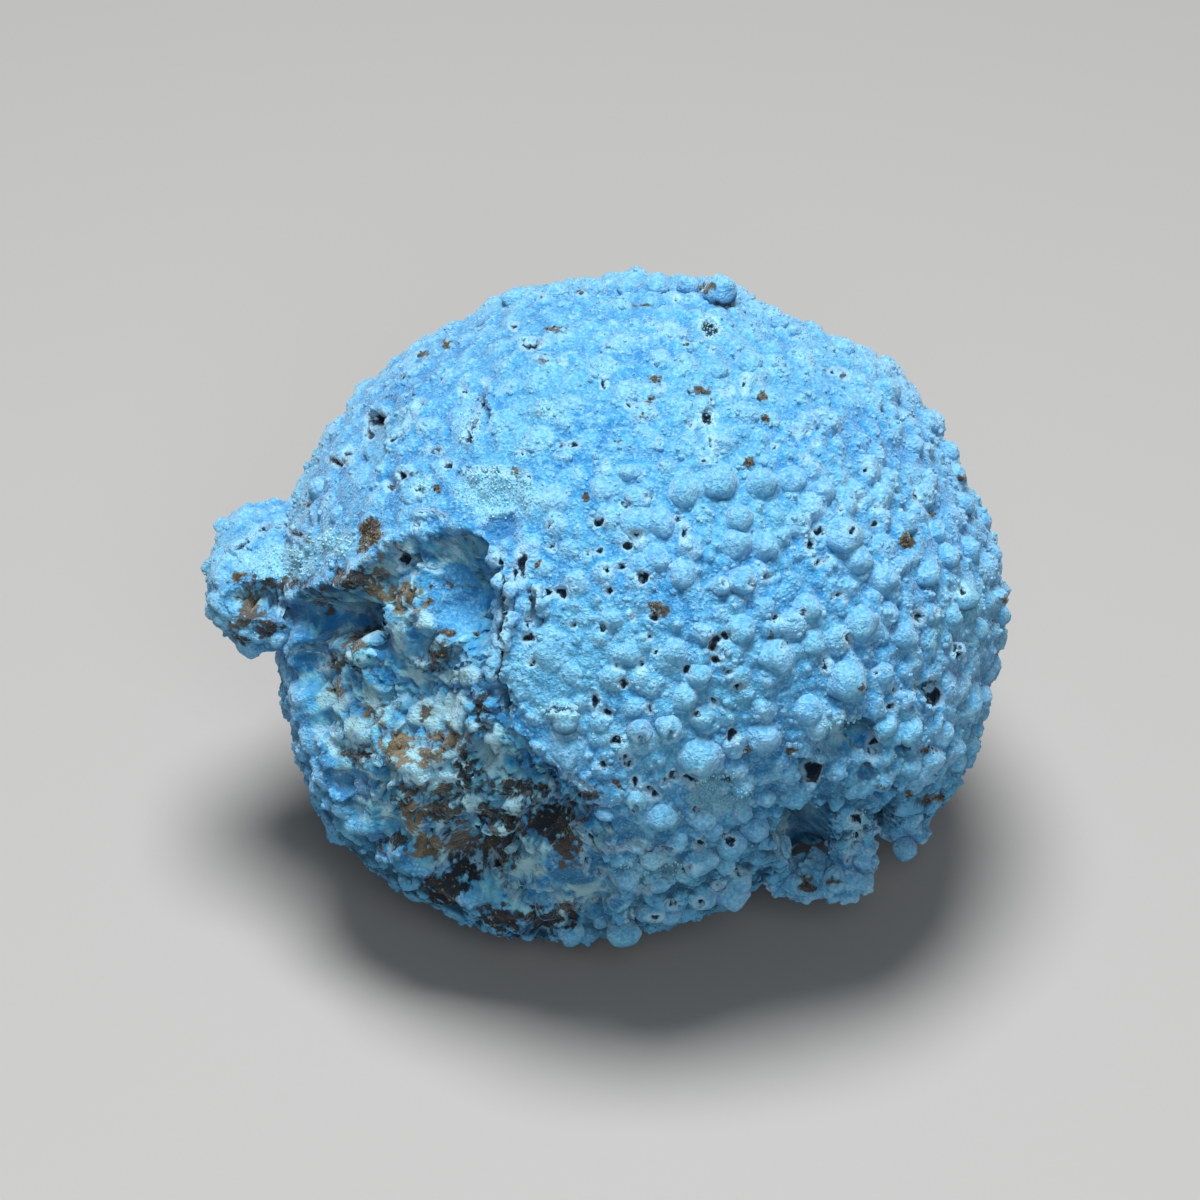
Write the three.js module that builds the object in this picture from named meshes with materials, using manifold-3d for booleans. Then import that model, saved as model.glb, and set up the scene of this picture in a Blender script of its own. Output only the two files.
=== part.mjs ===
// Shattuckite nodule in millimetres, +Z up: one grown lump of blue copper silicate, standing on a small flat.
//
// The body's surface is one radius for each direction out of its middle. The large forms come first: an
// uneven ball, less the broken face and the hollows. The rounded lumps of the crust are then raised on them.
// Its directions are written in the viewer's frame: x to the right, y up the picture and z towards the
// viewer, who looks down on the nodule. The snout and the feet are rounded boxes with lumps of their own,
// joined to the body.
import * as THREE from "three";
import { ConvexHull } from "three/addons/math/ConvexHull.js";
import { mergeVertices } from "three/addons/utils/BufferGeometryUtils.js";
import Module from "manifold-3d";

const wasm = await Module();
wasm.setup();

// Driving dimensions.
const VIEW_TILT = THREE.MathUtils.degToRad(38); // the viewer's height above the horizon
const VIEW_DISTANCE = 262; // from the viewer to the nodule's middle
const OUTLINE = [
  18.7, 18.5, 18.0, 18.0, 17.9, 17.3, 16.9, 17.5, 17.4, 17.5, 18.0, 17.9, 18.5, 18.8, 19.2, 19.3,
  19.3, 19.4, 19.7, 19.9, 19.6, 18.8, 18.4, 17.5, 16.5, 16.1, 15.4, 15.6, 16.7, 18.4, 18.5, 18.4,
]; // the body's radius as the viewer sees it, every 11.25 degrees, anticlockwise from the right
const DEPTH = 17.7; // the body's radius towards the viewer and away
const FLOOR = 16.1; // the middle's height above the surface it stands on

// Places that the viewer sees are written in pixels of a 1200-pixel photograph.
const PX_PER_MM = 19.1;
const MIDDLE_PX = [646, 610];

// Lobes that stand out of the body, as places and half sizes from its middle, +X right, +Y back and +Z up.
const LOBES = [
  { at: [-18.1, 0.4, 1.8], half: [4.8, 4.7, 2.6], lumps: 80 }, // the snout, a thick ledge
  { at: [11.0, -8.8, -8.8], half: [1.4, 1.6, 2.1], lumps: 16 }, // the front foot
  { at: [9.3, -9.9, -10.1], half: [2.7, 1.4, 0.9], lumps: 16 }, // its toe
  { at: [13.8, -5.1, -11.0], half: [1.3, 1.4, 1.2], lumps: 12 }, // the rear foot
];
const LOBE_SQUARENESS = 3; // 2 is an ellipsoid, more is closer to a box
const LOBE_LUMP = 0.7;

// The broken face: the crust is gone inside this line.
const BROKEN_FACE = [
  [300, 604], [345, 596], [366, 566], [392, 548], [430, 538], [470, 548], [490, 578], [497, 620],
  [496, 680], [508, 730], [535, 770], [575, 795], [607, 830], [612, 880], [598, 930], [545, 936],
  [480, 912], [430, 878], [380, 835], [335, 790], [312, 740], [302, 690], [296, 645],
];
const BROKEN_DEPTH = 1.3;
const BLOCK = { size: 2.3, step: 0.9 }; // the angular blocks that it broke into

// Hollows: where each is seen, its half width and half height in pixels, and its depth in millimetres.
const HOLLOWS = [
  { at: [452, 592], half: [40, 58], depth: 2.2 }, // the smooth scoop beside the crust's edge
  { at: [318, 622], half: [34, 26], depth: 4.6 }, // under the snout
  { at: [390, 700], half: [55, 70], depth: 1.0 },
  { at: [466, 768], half: [15, 17], depth: 1.5 },
  { at: [545, 838], half: [36, 26], depth: 1.8 },
  { at: [470, 874], half: [40, 24], depth: 2.4 },
  { at: [500, 702], half: [9, 12], depth: 0.9 },
  { at: [816, 832], half: [19, 30], depth: 3.6 }, // beside the foot
  { at: [888, 838], half: [11, 24], depth: 2.6 }, // behind the foot
  { at: [852, 738], half: [30, 18], depth: 1.0 },
  { at: [874, 744], half: [10, 13], depth: 1.2 },
  { at: [811, 770], half: [11, 11], depth: 1.0 },
  { at: [933, 692], half: [9, 9], depth: 0.9 },
  { at: [476, 410], half: [10, 22], depth: 0.6 },
  { at: [496, 512], half: [30, 28], depth: 0.35 },
  { at: [362, 445], half: [22, 34], depth: 0.45 },
  { at: [506, 612], half: [6, 26], depth: 0.7 }, // cracks along the crust's edge
  { at: [534, 606], half: [6, 20], depth: 0.7 },
  { at: [722, 800], half: [30, 22], depth: 0.5 },
];

// The largest lumps of the crust: where each is seen and its radius, in pixels. Craters have an open top.
const LUMPS = [
  [719, 290, 17], [708, 325, 15], [752, 358, 15], [717, 366, 11], [706, 417, 13], [889, 382, 15],
  [862, 376, 13], [930, 420, 13], [840, 342, 14], [791, 326, 11], [913, 440, 12], [778, 318, 9],
  [510, 297, 14], [555, 291, 12], [596, 287, 13], [625, 287, 11], [654, 285, 13], [686, 286, 12],
  [464, 333, 13], [431, 350, 13], [353, 486, 13], [312, 490, 15], [419, 491, 14], [423, 542, 12],
  [688, 486, 16], [720, 477, 18], [635, 535, 20], [660, 524, 16], [659, 554, 16], [642, 577, 16],
  [684, 572, 15], [625, 504, 14], [605, 465, 13], [631, 474, 12], [624, 650, 16], [675, 656, 16],
  [696, 679, 13], [680, 699, 15], [546, 649, 22], [740, 626, 15], [725, 581, 11], [752, 583, 15],
  [737, 542, 15], [741, 520, 14], [608, 617, 13], [571, 674, 12], [845, 535, 20], [767, 542, 15],
  [763, 482, 16], [795, 483, 15], [822, 485, 14], [858, 563, 17], [811, 610, 16], [851, 677, 21],
  [810, 713, 16], [967, 588, 15], [951, 556, 14], [940, 529, 12], [972, 542, 13], [910, 517, 12],
  [999, 660, 12], [910, 633, 16], [929, 570, 14], [888, 579, 15], [865, 626, 19], [817, 640, 15],
  [779, 656, 17], [960, 655, 12], [883, 677, 13], [954, 615, 13], [945, 732, 16], [767, 736, 17],
  [913, 731, 14], [890, 724, 12], [911, 768, 12], [562, 712, 17], [644, 742, 13], [616, 741, 13],
  [673, 733, 12], [637, 712, 14], [703, 762, 22], [709, 719, 15], [566, 752, 22], [641, 803, 13],
  [669, 821, 15], [651, 862, 13], [628, 884, 13], [739, 850, 16], [758, 832, 15], [626, 934, 17],
  [571, 934, 13], [651, 912, 16], [703, 899, 15], [738, 893, 18], [551, 908, 12], [788, 848, 14],
  [772, 800, 11], [858, 818, 12], [840, 878, 13], [905, 845, 13], [918, 818, 13], [970, 500, 13],
  [985, 625, 13], [978, 700, 13], [962, 765, 13], [330, 520, 12],
];
const LUMP_RISE = 0.65; // a lump's height over its radius
const STEEP = 0.8; // the slope from which a place is drawn as a wall
const LUMP_SPREAD = 1.15; // lumps overlap a little

// Lumps on the rest of the crust, near the points of a golden spiral.
const SPIRAL_LUMPS = 900;
const SPIRAL_RADIUS = [0.9, 1.45];
const SPIRAL_RISE = 0.5;
const SPIRAL_SHIFT = 0.05; // how far a lump strays from its point, in radii of the body
const GOLDEN = Math.PI * (3 - Math.sqrt(5));

// How closely the surface is drawn: the least distances between its points.
const CLOSEST = 0.5;
const IN_VALLEYS = 0.72;
const ON_WALLS = 0.62;
const ON_BREAKS = 0.85;
const ON_CRUST = 1.3;
const FILL_POINTS = 40000;
const SHOULDER = { out: 0.6, points: 5 }; // round the top of each lump that the viewer sees
const VALLEY = { out: 1, points: 7 }; // round the foot of every lump
const LOBE_POINTS = 7; // for each lump of a lobe

const { cos, sin, sqrt, hypot, atan2, PI, min, max, floor } = Math;
const fraction = (n) => n - floor(n);
const chance = (n) => fraction(sin(n) * 43758.5453);
const scaled = (v, k) => v.map((c) => c * k);
const dot = (a, b) => a[0] * b[0] + a[1] * b[1] + a[2] * b[2];
const apart = (a, b) => hypot(a[0] - b[0], a[1] - b[1], a[2] - b[2]);
const unit = (v) => scaled(v, 1 / hypot(...v));

function ease(from, to, x) {
  const t = min(1, max(0, (x - from) / (to - from)));
  return t * t * (3 - 2 * t);
}

const DOWN = [0, -cos(VIEW_TILT), -sin(VIEW_TILT)];

// A smooth closed curve through the outline's radii.
function outlineRadius(angle) {
  const n = OUTLINE.length;
  const at = ((angle / (2 * PI)) * n + 2 * n) % n;
  const i = floor(at);
  const t = at - i;
  const [a, b, c, d] = [n - 1, 0, 1, 2].map((k) => OUTLINE[(i + k) % n]);
  return b + 0.5 * t * (c - a + t * (2 * a - 5 * b + 4 * c - d + t * (3 * (b - c) + d - a)));
}

function bodyRadius(v) {
  const facing = v[2] * v[2];
  const side = outlineRadius(atan2(v[1], v[0]));
  return 1 / sqrt((1 - facing) / side ** 2 + facing / DEPTH ** 2);
}

// Where the viewer sees a point, in millimetres right of the middle and above it.
function seen(p) {
  const k = VIEW_DISTANCE / (VIEW_DISTANCE - p[2]);
  return [p[0] * k, p[1] * k];
}

const fromPixels = ([x, y]) => [(x - MIDDLE_PX[0]) / PX_PER_MM, (MIDDLE_PX[1] - y) / PX_PER_MM];

// The point of the body that the viewer sees at a pixel: halving the stretch of the line of sight.
function onBody(pixel) {
  const [x, y] = fromPixels(pixel);
  const at = (z) => [...scaled([x, y], (VIEW_DISTANCE - z) / VIEW_DISTANCE), z];
  let inside = 0;
  let outside = 24;
  for (let k = 0; k < 30; k++) {
    const z = (inside + outside) / 2;
    const p = at(z);
    if (hypot(...p) < bodyRadius(unit(p))) inside = z;
    else outside = z;
  }
  const p = at(inside);
  return scaled(unit(p), bodyRadius(unit(p)));
}

// Distance to a closed line of points, negative inside it.
function insideLine([x, y], line) {
  let nearest = Infinity;
  let within = false;
  line.forEach(([ax, ay], i) => {
    const [bx, by] = line[(i + 1) % line.length];
    const along = ((x - ax) * (bx - ax) + (y - ay) * (by - ay)) / ((bx - ax) ** 2 + (by - ay) ** 2);
    const t = min(1, max(0, along));
    nearest = min(nearest, hypot(x - ax - t * (bx - ax), y - ay - t * (by - ay)));
    if (ay > y !== by > y && x < ((bx - ax) * (y - ay)) / (by - ay) + ax) within = !within;
  });
  return within ? -nearest : nearest;
}

const BROKEN_LINE = BROKEN_FACE.map(fromPixels);

// How much of a point lies in the broken face, from 0 on the crust to 1.
function broken(p) {
  if (p[2] < -2) return 0;
  return ease(0.1, -0.6, insideLine(seen(p), BROKEN_LINE)) * ease(-2, 1, p[2]);
}

// The height of the block that a point of the broken face belongs to, from -1 to 1.
function blockHeight(p) {
  const cell = p.map((c) => floor(c / BLOCK.size));
  let nearest = Infinity;
  let height = 0;
  for (let i = -1; i <= 1; i++)
    for (let j = -1; j <= 1; j++)
      for (let k = -1; k <= 1; k++) {
        const c = [cell[0] + i, cell[1] + j, cell[2] + k];
        const seed = dot(c, [12.9898, 78.233, 37.719]);
        const middle = c.map((n, axis) => (n + chance(seed + axis)) * BLOCK.size);
        const d = apart(p, middle);
        if (d < nearest) {
          nearest = d;
          height = 2 * chance(seed + 5) - 1;
        }
      }
  return height;
}

// The depth of all the hollows at a point that the viewer can see.
function hollowDepth(p) {
  const [x, y] = seen(p);
  const facing = ease(-5, -1, p[2]);
  return HOLLOWS.reduce((sum, { at, half, depth }) => {
    const [cx, cy] = fromPixels(at);
    const q = hypot((x - cx) / half[0], (y - cy) / half[1]) * PX_PER_MM;
    return sum + (q < 1.2 ? depth * ease(1.2, 0.55, q) * facing : 0);
  }, 0);
}

// The large forms: the body, less the broken face and the hollows.
function formRadius(v) {
  const radius = bodyRadius(v);
  const p = scaled(v, radius);
  const gone = broken(p);
  const depth = gone * (BROKEN_DEPTH + 0.5 * BLOCK.step * blockHeight(p)) + hollowDepth(p);
  return radius - depth;
}

// The share of a lump's height that a point of the crust gets: none in a break, in a hollow or underneath.
function crust(v) {
  const p = scaled(v, bodyRadius(v));
  return (1 - broken(p)) * ease(1.6, 0.5, hollowDepth(p)) * ease(0.965, 0.93, dot(v, DOWN));
}

const seenLumps = LUMPS.map(([x, y, r]) => {
  const radius = (r / PX_PER_MM) * LUMP_SPREAD;
  return { middle: onBody([x, y]), radius, height: LUMP_RISE * radius };
});

function spiralDirection(i, count) {
  const y = 1 - (2 * (i + 0.5)) / count;
  const r = sqrt(1 - y * y);
  return [r * cos(i * GOLDEN), y, r * sin(i * GOLDEN)];
}

const lumps = [...seenLumps];
for (let i = 0; i < SPIRAL_LUMPS; i++) {
  const stray = (c, axis) => c + 2 * SPIRAL_SHIFT * (chance(3 * i + axis) - 0.5);
  const v = unit(spiralDirection(i, SPIRAL_LUMPS).map(stray));
  const radius = SPIRAL_RADIUS[0] + (SPIRAL_RADIUS[1] - SPIRAL_RADIUS[0]) * chance(i + 0.5) ** 2;
  const middle = scaled(v, bodyRadius(v));
  const crowded = lumps.some((lump) => apart(lump.middle, middle) < 0.72 * (lump.radius + radius));
  if (!crowded && crust(v) > 0.8) lumps.push({ middle, radius, height: SPIRAL_RISE * radius });
}

// The height of the highest lump over a point: each is a cap of a ball.
function lumpHeight(p, all) {
  let highest = 0;
  for (const { middle, radius, height } of all) {
    const q = apart(p, middle) / radius;
    if (q < 1) highest = max(highest, height * sqrt(1 - q * q));
  }
  return highest;
}

function radiusAt(v) {
  return formRadius(v) + crust(v) * lumpHeight(scaled(v, bodyRadius(v)), lumps);
}

// The slope of the large forms, from one step in each of two directions.
function steepness(v) {
  const step = 0.02;
  const rise = [[step, 0, -step], [0, step, step]].map((side) => {
    const w = unit(v.map((c, axis) => c + side[axis]));
    return Math.abs(formRadius(w) - formRadius(v)) / (apart(v, w) * formRadius(v));
  });
  return max(...rise);
}

// Directions to draw: the top of each lump, the valleys round it, then a spiral that fills what is left.
// A point is left out where another is too near, measured on the large forms, so that steep walls get points
// of their own.
function directionsToDraw() {
  const kept = [];
  const buckets = new Map();
  const keep = (v, clear) => {
    const p = scaled(v, formRadius(v));
    const cell = p.map((c) => floor(c / ON_CRUST));
    for (const i of [-1, 0, 1])
      for (const j of [-1, 0, 1])
        for (const k of [-1, 0, 1])
          for (const q of buckets.get([cell[0] + i, cell[1] + j, cell[2] + k].join()) ?? [])
            if (apart(p, q) < clear) return;
    kept.push(v);
    buckets.set(cell.join(), [...(buckets.get(cell.join()) ?? []), p]);
  };
  const ringRound = (lump, { out, points }, clear) => {
    const axis = new THREE.Vector3(...lump.middle).normalize();
    const east = new THREE.Vector3(0, 1, 0).cross(axis).normalize();
    for (let k = 0; k < points; k++) {
      const side = east.clone().applyAxisAngle(axis, (2 * PI * k) / points).toArray();
      const p = lump.middle.map((c, i) => c + out * lump.radius * side[i]);
      const covered = lumps.some((other) => other !== lump && apart(other.middle, p) < 0.8 * other.radius);
      if (!covered) keep(unit(p), clear);
    }
  };
  for (const lump of lumps) keep(unit(lump.middle), CLOSEST);
  for (const lump of seenLumps) ringRound(lump, SHOULDER, CLOSEST);
  for (const lump of lumps) ringRound(lump, VALLEY, IN_VALLEYS);
  for (let i = 0; i < FILL_POINTS; i++) {
    const v = spiralDirection(i, FILL_POINTS);
    const onBreak = crust(v) < 0.9 && v[2] > -0.3;
    keep(v, steepness(v) > STEEP ? ON_WALLS : onBreak ? ON_BREAKS : ON_CRUST);
  }
  return kept;
}

// The surface between points along some directions: their convex hull joins each to its neighbours.
function surface(directions, radius) {
  const points = directions.map((v) => new THREE.Vector3(...v));
  const number = new Map(points.map((p, i) => [p, i]));
  const hull = new ConvexHull().setFromPoints(points);
  const corner = (face, k) => number.get(face.getEdge(k).head().point);
  const index = hull.faces.flatMap((face) => [0, 1, 2].map((k) => corner(face, k)));
  const position = directions.flatMap((v) => scaled(v, radius(v)));
  return new THREE.BufferGeometry()
    .setAttribute("position", new THREE.Float32BufferAttribute(position, 3))
    .setIndex(index);
}

// The body turned from the viewer's frame to the one it stands in.
function bodySurface() {
  const right = new THREE.Vector3(1, 0, 0);
  const up = new THREE.Vector3(0, sin(VIEW_TILT), cos(VIEW_TILT));
  const towards = new THREE.Vector3(0, -cos(VIEW_TILT), sin(VIEW_TILT));
  const turn = new THREE.Matrix4().makeBasis(right, up, towards);
  return surface(directionsToDraw(), radiusAt).applyMatrix4(turn);
}

// A lobe: a rounded box with lumps all over it.
function lobeSurface({ at, half, lumps: count }) {
  const boxRadius = (v) => {
    const powers = v.map((c, axis) => Math.abs(c / half[axis]) ** LOBE_SQUARENESS);
    return (powers[0] + powers[1] + powers[2]) ** (-1 / LOBE_SQUARENESS);
  };
  const spread = (n) => Array.from({ length: n }, (_, i) => spiralDirection(i, n));
  const own = spread(count).map((v) => ({
    middle: scaled(v, boxRadius(v)),
    radius: LOBE_LUMP,
    height: SPIRAL_RISE * LOBE_LUMP,
  }));
  const radius = (v) => boxRadius(v) + lumpHeight(scaled(v, boxRadius(v)), own);
  return surface(spread(LOBE_POINTS * count), radius).translate(...at);
}

function solidOf(geometry) {
  const bare = geometry.clone().deleteAttribute("normal").deleteAttribute("uv");
  const merged = mergeVertices(bare);
  return new wasm.Manifold(
    new wasm.Mesh({
      numProp: 3,
      vertProperties: merged.getAttribute("position").array,
      triVerts: new Uint32Array(merged.index.array),
    }),
  );
}

// The nodule, cut off level where it stands and moved so that the origin is under its middle.
function stoneGeometry() {
  const below = new THREE.BoxGeometry(60, 60, 10).translate(0, 0, -5 - FLOOR);
  const lobes = LOBES.map(lobeSurface).map(solidOf);
  const whole = lobes.reduce((sum, lobe) => sum.add(lobe), solidOf(bodySurface()));
  const filled = whole.decompose().find((skin) => skin.volume() > 0); // gaps shut in by a lobe are stone
  const mesh = filled.subtract(solidOf(below)).getMesh();
  const geometry = new THREE.BufferGeometry()
    .setAttribute("position", new THREE.BufferAttribute(mesh.vertProperties, 3))
    .setIndex(new THREE.BufferAttribute(mesh.triVerts, 1));
  geometry.computeBoundingBox();
  const middle = geometry.boundingBox.getCenter(new THREE.Vector3());
  geometry.translate(-middle.x, -middle.y, -geometry.boundingBox.min.z);
  geometry.computeVertexNormals();
  return geometry;
}

const shattuckite = new THREE.MeshStandardMaterial({ color: "#62add9", roughness: 0.85, metalness: 0 });

const nodule = new THREE.Mesh(stoneGeometry(), shattuckite);
nodule.name = "nodule";

const stone = new THREE.Group();
stone.add(nodule);

export default stone;
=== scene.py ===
"""A nodule of shattuckite: a blue crust of rounded lumps, a broken face under its snout and fine grains."""
import math

import bpy
import numpy as np
from bpy.props import FloatProperty, FloatVectorProperty, IntProperty, PointerProperty
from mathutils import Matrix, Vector


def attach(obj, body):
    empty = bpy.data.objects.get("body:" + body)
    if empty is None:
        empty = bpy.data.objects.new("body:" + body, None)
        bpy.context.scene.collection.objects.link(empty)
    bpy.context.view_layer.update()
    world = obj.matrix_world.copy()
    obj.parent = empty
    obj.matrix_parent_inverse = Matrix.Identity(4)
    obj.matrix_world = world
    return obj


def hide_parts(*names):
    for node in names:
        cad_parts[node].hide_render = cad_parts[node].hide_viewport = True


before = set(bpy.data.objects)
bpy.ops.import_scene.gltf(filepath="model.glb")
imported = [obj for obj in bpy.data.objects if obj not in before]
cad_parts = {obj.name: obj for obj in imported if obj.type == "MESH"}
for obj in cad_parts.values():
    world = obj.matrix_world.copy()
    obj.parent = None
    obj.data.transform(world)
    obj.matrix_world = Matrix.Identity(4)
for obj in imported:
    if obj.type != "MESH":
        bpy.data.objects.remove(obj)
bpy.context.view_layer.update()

bl_info = {
    "name": "Shattuckite Nodule",
    "version": (1, 0, 0),
    "blender": (4, 5, 0),
    "location": "View3D > Sidebar > Nodule",
    "description": "A rounded nodule of blue shattuckite with a crust of small lumps and a broken face",
    "category": "Add Mesh",
}

MM = 0.001
GOLDEN = math.pi * (3 - math.sqrt(5))

# Shapes are worked out in millimetres in the viewer's frame: x to the right, y up the picture and z towards
# the viewer, from the nodule's middle.
MIDDLE = (2.06, -0.031, 16.1)  # the nodule's middle in the standing frame
OUTLINE = np.array([
    18.7, 18.5, 18.0, 18.0, 17.9, 17.3, 16.9, 17.5, 17.4, 17.5, 18.0, 17.9, 18.5, 18.8, 19.2, 19.3,
    19.3, 19.4, 19.7, 19.9, 19.6, 18.8, 18.4, 17.5, 16.5, 16.1, 15.4, 15.6, 16.7, 18.4, 18.5, 18.4,
])  # the body's radius as the viewer sees it, every 11.25 degrees, anticlockwise from the right
PX_PER_MM = 19.1
MIDDLE_PX = np.array([646, 610])

# Lobes that stand out of the body: place and half sizes from its middle, +X right, +Y back and +Z up.
LOBES = {
    "snout": ((-18.1, 0.4, 1.8), (4.8, 4.7, 2.6)),
    "front_foot": ((10.8, -8.9, -8.5), (1.15, 1.5, 2.0)),
    "toe": ((9.2, -9.9, -9.7), (2.5, 1.4, 0.8)),
    "rear_foot": ((13.8, -4.7, -10.3), (1.25, 1.3, 1.0)),
}
LOBE_SQUARENESS = 3  # 2 is an ellipsoid, more is closer to a box
LOBE_PAINTED_SHADE = 0.3  # the share of the body's painted shade underneath that the lobes get

BROKEN_FACE = np.array([
    [292, 606], [345, 596], [366, 566], [392, 548], [430, 538], [470, 548], [490, 578], [497, 620],
    [496, 680], [508, 730], [535, 770], [572, 792], [590, 818], [614, 834], [600, 862], [622, 884],
    [604, 906], [610, 934], [545, 936], [480, 912], [430, 878], [378, 850], [340, 806], [316, 756],
    [292, 690], [288, 645],
])
BROKEN_DEPTH = 1.3
BLOCK_SIZE = 2.3
BLOCK_STEP = 0.9
BLOCKS = ((2.1, 0.5, 0.3), (0.9, 0.13, 0.25), (0.4, 0.05, 0.15))  # size, step and slope of the smaller blocks
TINTED_BLOCK = 0.9  # blocks of this size each have their own blue

# Hollows: x, y, half width, half height in pixels, and depth in millimetres.
HOLLOWS = np.array([
    [452, 592, 40, 58, 2.2], [322, 620, 38, 26, 2.2], [390, 700, 55, 70, 1.0], [466, 768, 15, 17, 1.5],
    [545, 838, 36, 26, 1.8], [470, 874, 40, 24, 2.4], [500, 702, 9, 12, 0.9], [808, 836, 26, 32, 5.0],
    [888, 838, 14, 28, 3.0], [852, 738, 30, 18, 1.0], [874, 744, 10, 13, 1.2], [811, 770, 11, 11, 1.0],
    [933, 692, 9, 9, 0.9], [884, 790, 12, 8, 0.9], [902, 752, 8, 6, 0.7], [868, 772, 8, 6, 0.8],
    [476, 410, 10, 22, 0.6], [496, 512, 30, 28, 0.35], [362, 445, 22, 34, 0.45], [506, 612, 6, 26, 0.7],
    [534, 606, 6, 20, 0.7], [722, 800, 30, 22, 0.5],
])

# The same in the lobes.
LOBE_HOLLOWS = np.array([[262, 602, 36, 18, 4.4], [304, 610, 22, 22, 3.2], [856, 830, 10, 14, 0.8]])

# The largest lumps: x, y and radius in pixels.
LUMPS = np.array([
    [719, 290, 17], [708, 325, 15], [752, 358, 15], [717, 366, 11], [706, 417, 13], [889, 382, 15],
    [862, 376, 13], [930, 420, 13], [840, 342, 14], [791, 326, 11], [913, 440, 12], [778, 318, 9],
    [510, 297, 14], [555, 291, 12], [596, 287, 13], [625, 287, 11], [654, 285, 13], [686, 286, 12],
    [464, 333, 13], [431, 350, 13], [353, 486, 13], [312, 490, 15], [419, 491, 14], [423, 542, 12],
    [688, 486, 16], [720, 477, 18], [635, 535, 20], [660, 524, 16], [659, 554, 16], [642, 577, 16],
    [684, 572, 15], [625, 504, 14], [605, 465, 13], [631, 474, 12], [624, 650, 16], [675, 656, 16],
    [696, 679, 13], [680, 699, 15], [546, 649, 22], [740, 626, 15], [725, 581, 11], [752, 583, 15],
    [737, 542, 15], [741, 520, 14], [608, 617, 13], [571, 674, 12], [845, 535, 20], [767, 542, 15],
    [763, 482, 16], [795, 483, 15], [822, 485, 14], [858, 563, 17], [811, 610, 16], [851, 677, 21],
    [810, 713, 16], [967, 588, 15], [951, 556, 14], [940, 529, 12], [972, 542, 13], [910, 517, 12],
    [999, 660, 12], [910, 633, 16], [929, 570, 14], [888, 579, 15], [865, 626, 19], [817, 640, 15],
    [779, 656, 17], [960, 655, 12], [883, 677, 13], [954, 615, 13], [945, 732, 16], [767, 736, 17],
    [913, 731, 14], [890, 724, 12], [911, 768, 12], [562, 712, 14], [644, 742, 13], [616, 741, 13],
    [673, 733, 12], [637, 712, 14], [703, 762, 22], [709, 719, 15], [566, 752, 22], [641, 803, 13],
    [669, 821, 15], [651, 862, 13], [628, 884, 13], [739, 850, 16], [758, 832, 15], [626, 934, 17],
    [571, 934, 13], [651, 912, 16], [703, 899, 15], [738, 893, 18], [551, 908, 12], [788, 848, 14],
    [772, 800, 11], [858, 818, 12], [840, 878, 13], [905, 845, 13], [918, 818, 13], [970, 500, 13],
    [985, 625, 13], [978, 700, 13], [962, 765, 13], [330, 520, 12], [989, 520, 10], [998, 548, 10],
    [1004, 592, 10], [1002, 618, 9], [990, 690, 9], [983, 724, 10], [974, 748, 11], [961, 470, 10],
    [948, 445, 11], [934, 424, 10], [243, 512, 13], [216, 604, 12], [222, 628, 13], [240, 638, 10],
    [258, 646, 11], [276, 650, 9], [214, 578, 11], [302, 604, 13], [226, 548, 12], [702, 815, 12],
    [707, 863, 18], [602, 923, 10], [620, 903, 12], [674, 917, 9], [717, 833, 10], [740, 817, 11],
    [603, 820, 10], [747, 880, 13], [633, 864, 8], [680, 846, 11], [664, 886, 11], [690, 880, 10],
    [724, 872, 11], [499, 583, 6], [496, 592, 7], [494, 602, 6], [496, 612, 7], [499, 621, 6], [496, 631, 7],
    [493, 641, 6], [494, 652, 7], [491, 663, 6], [490, 674, 7], [511, 590, 6], [510, 600, 7], [509, 611, 6],
    [511, 621, 7], [509, 631, 6], [510, 642, 6], [541, 593, 6], [543, 603, 6], [541, 613, 6],
])

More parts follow.
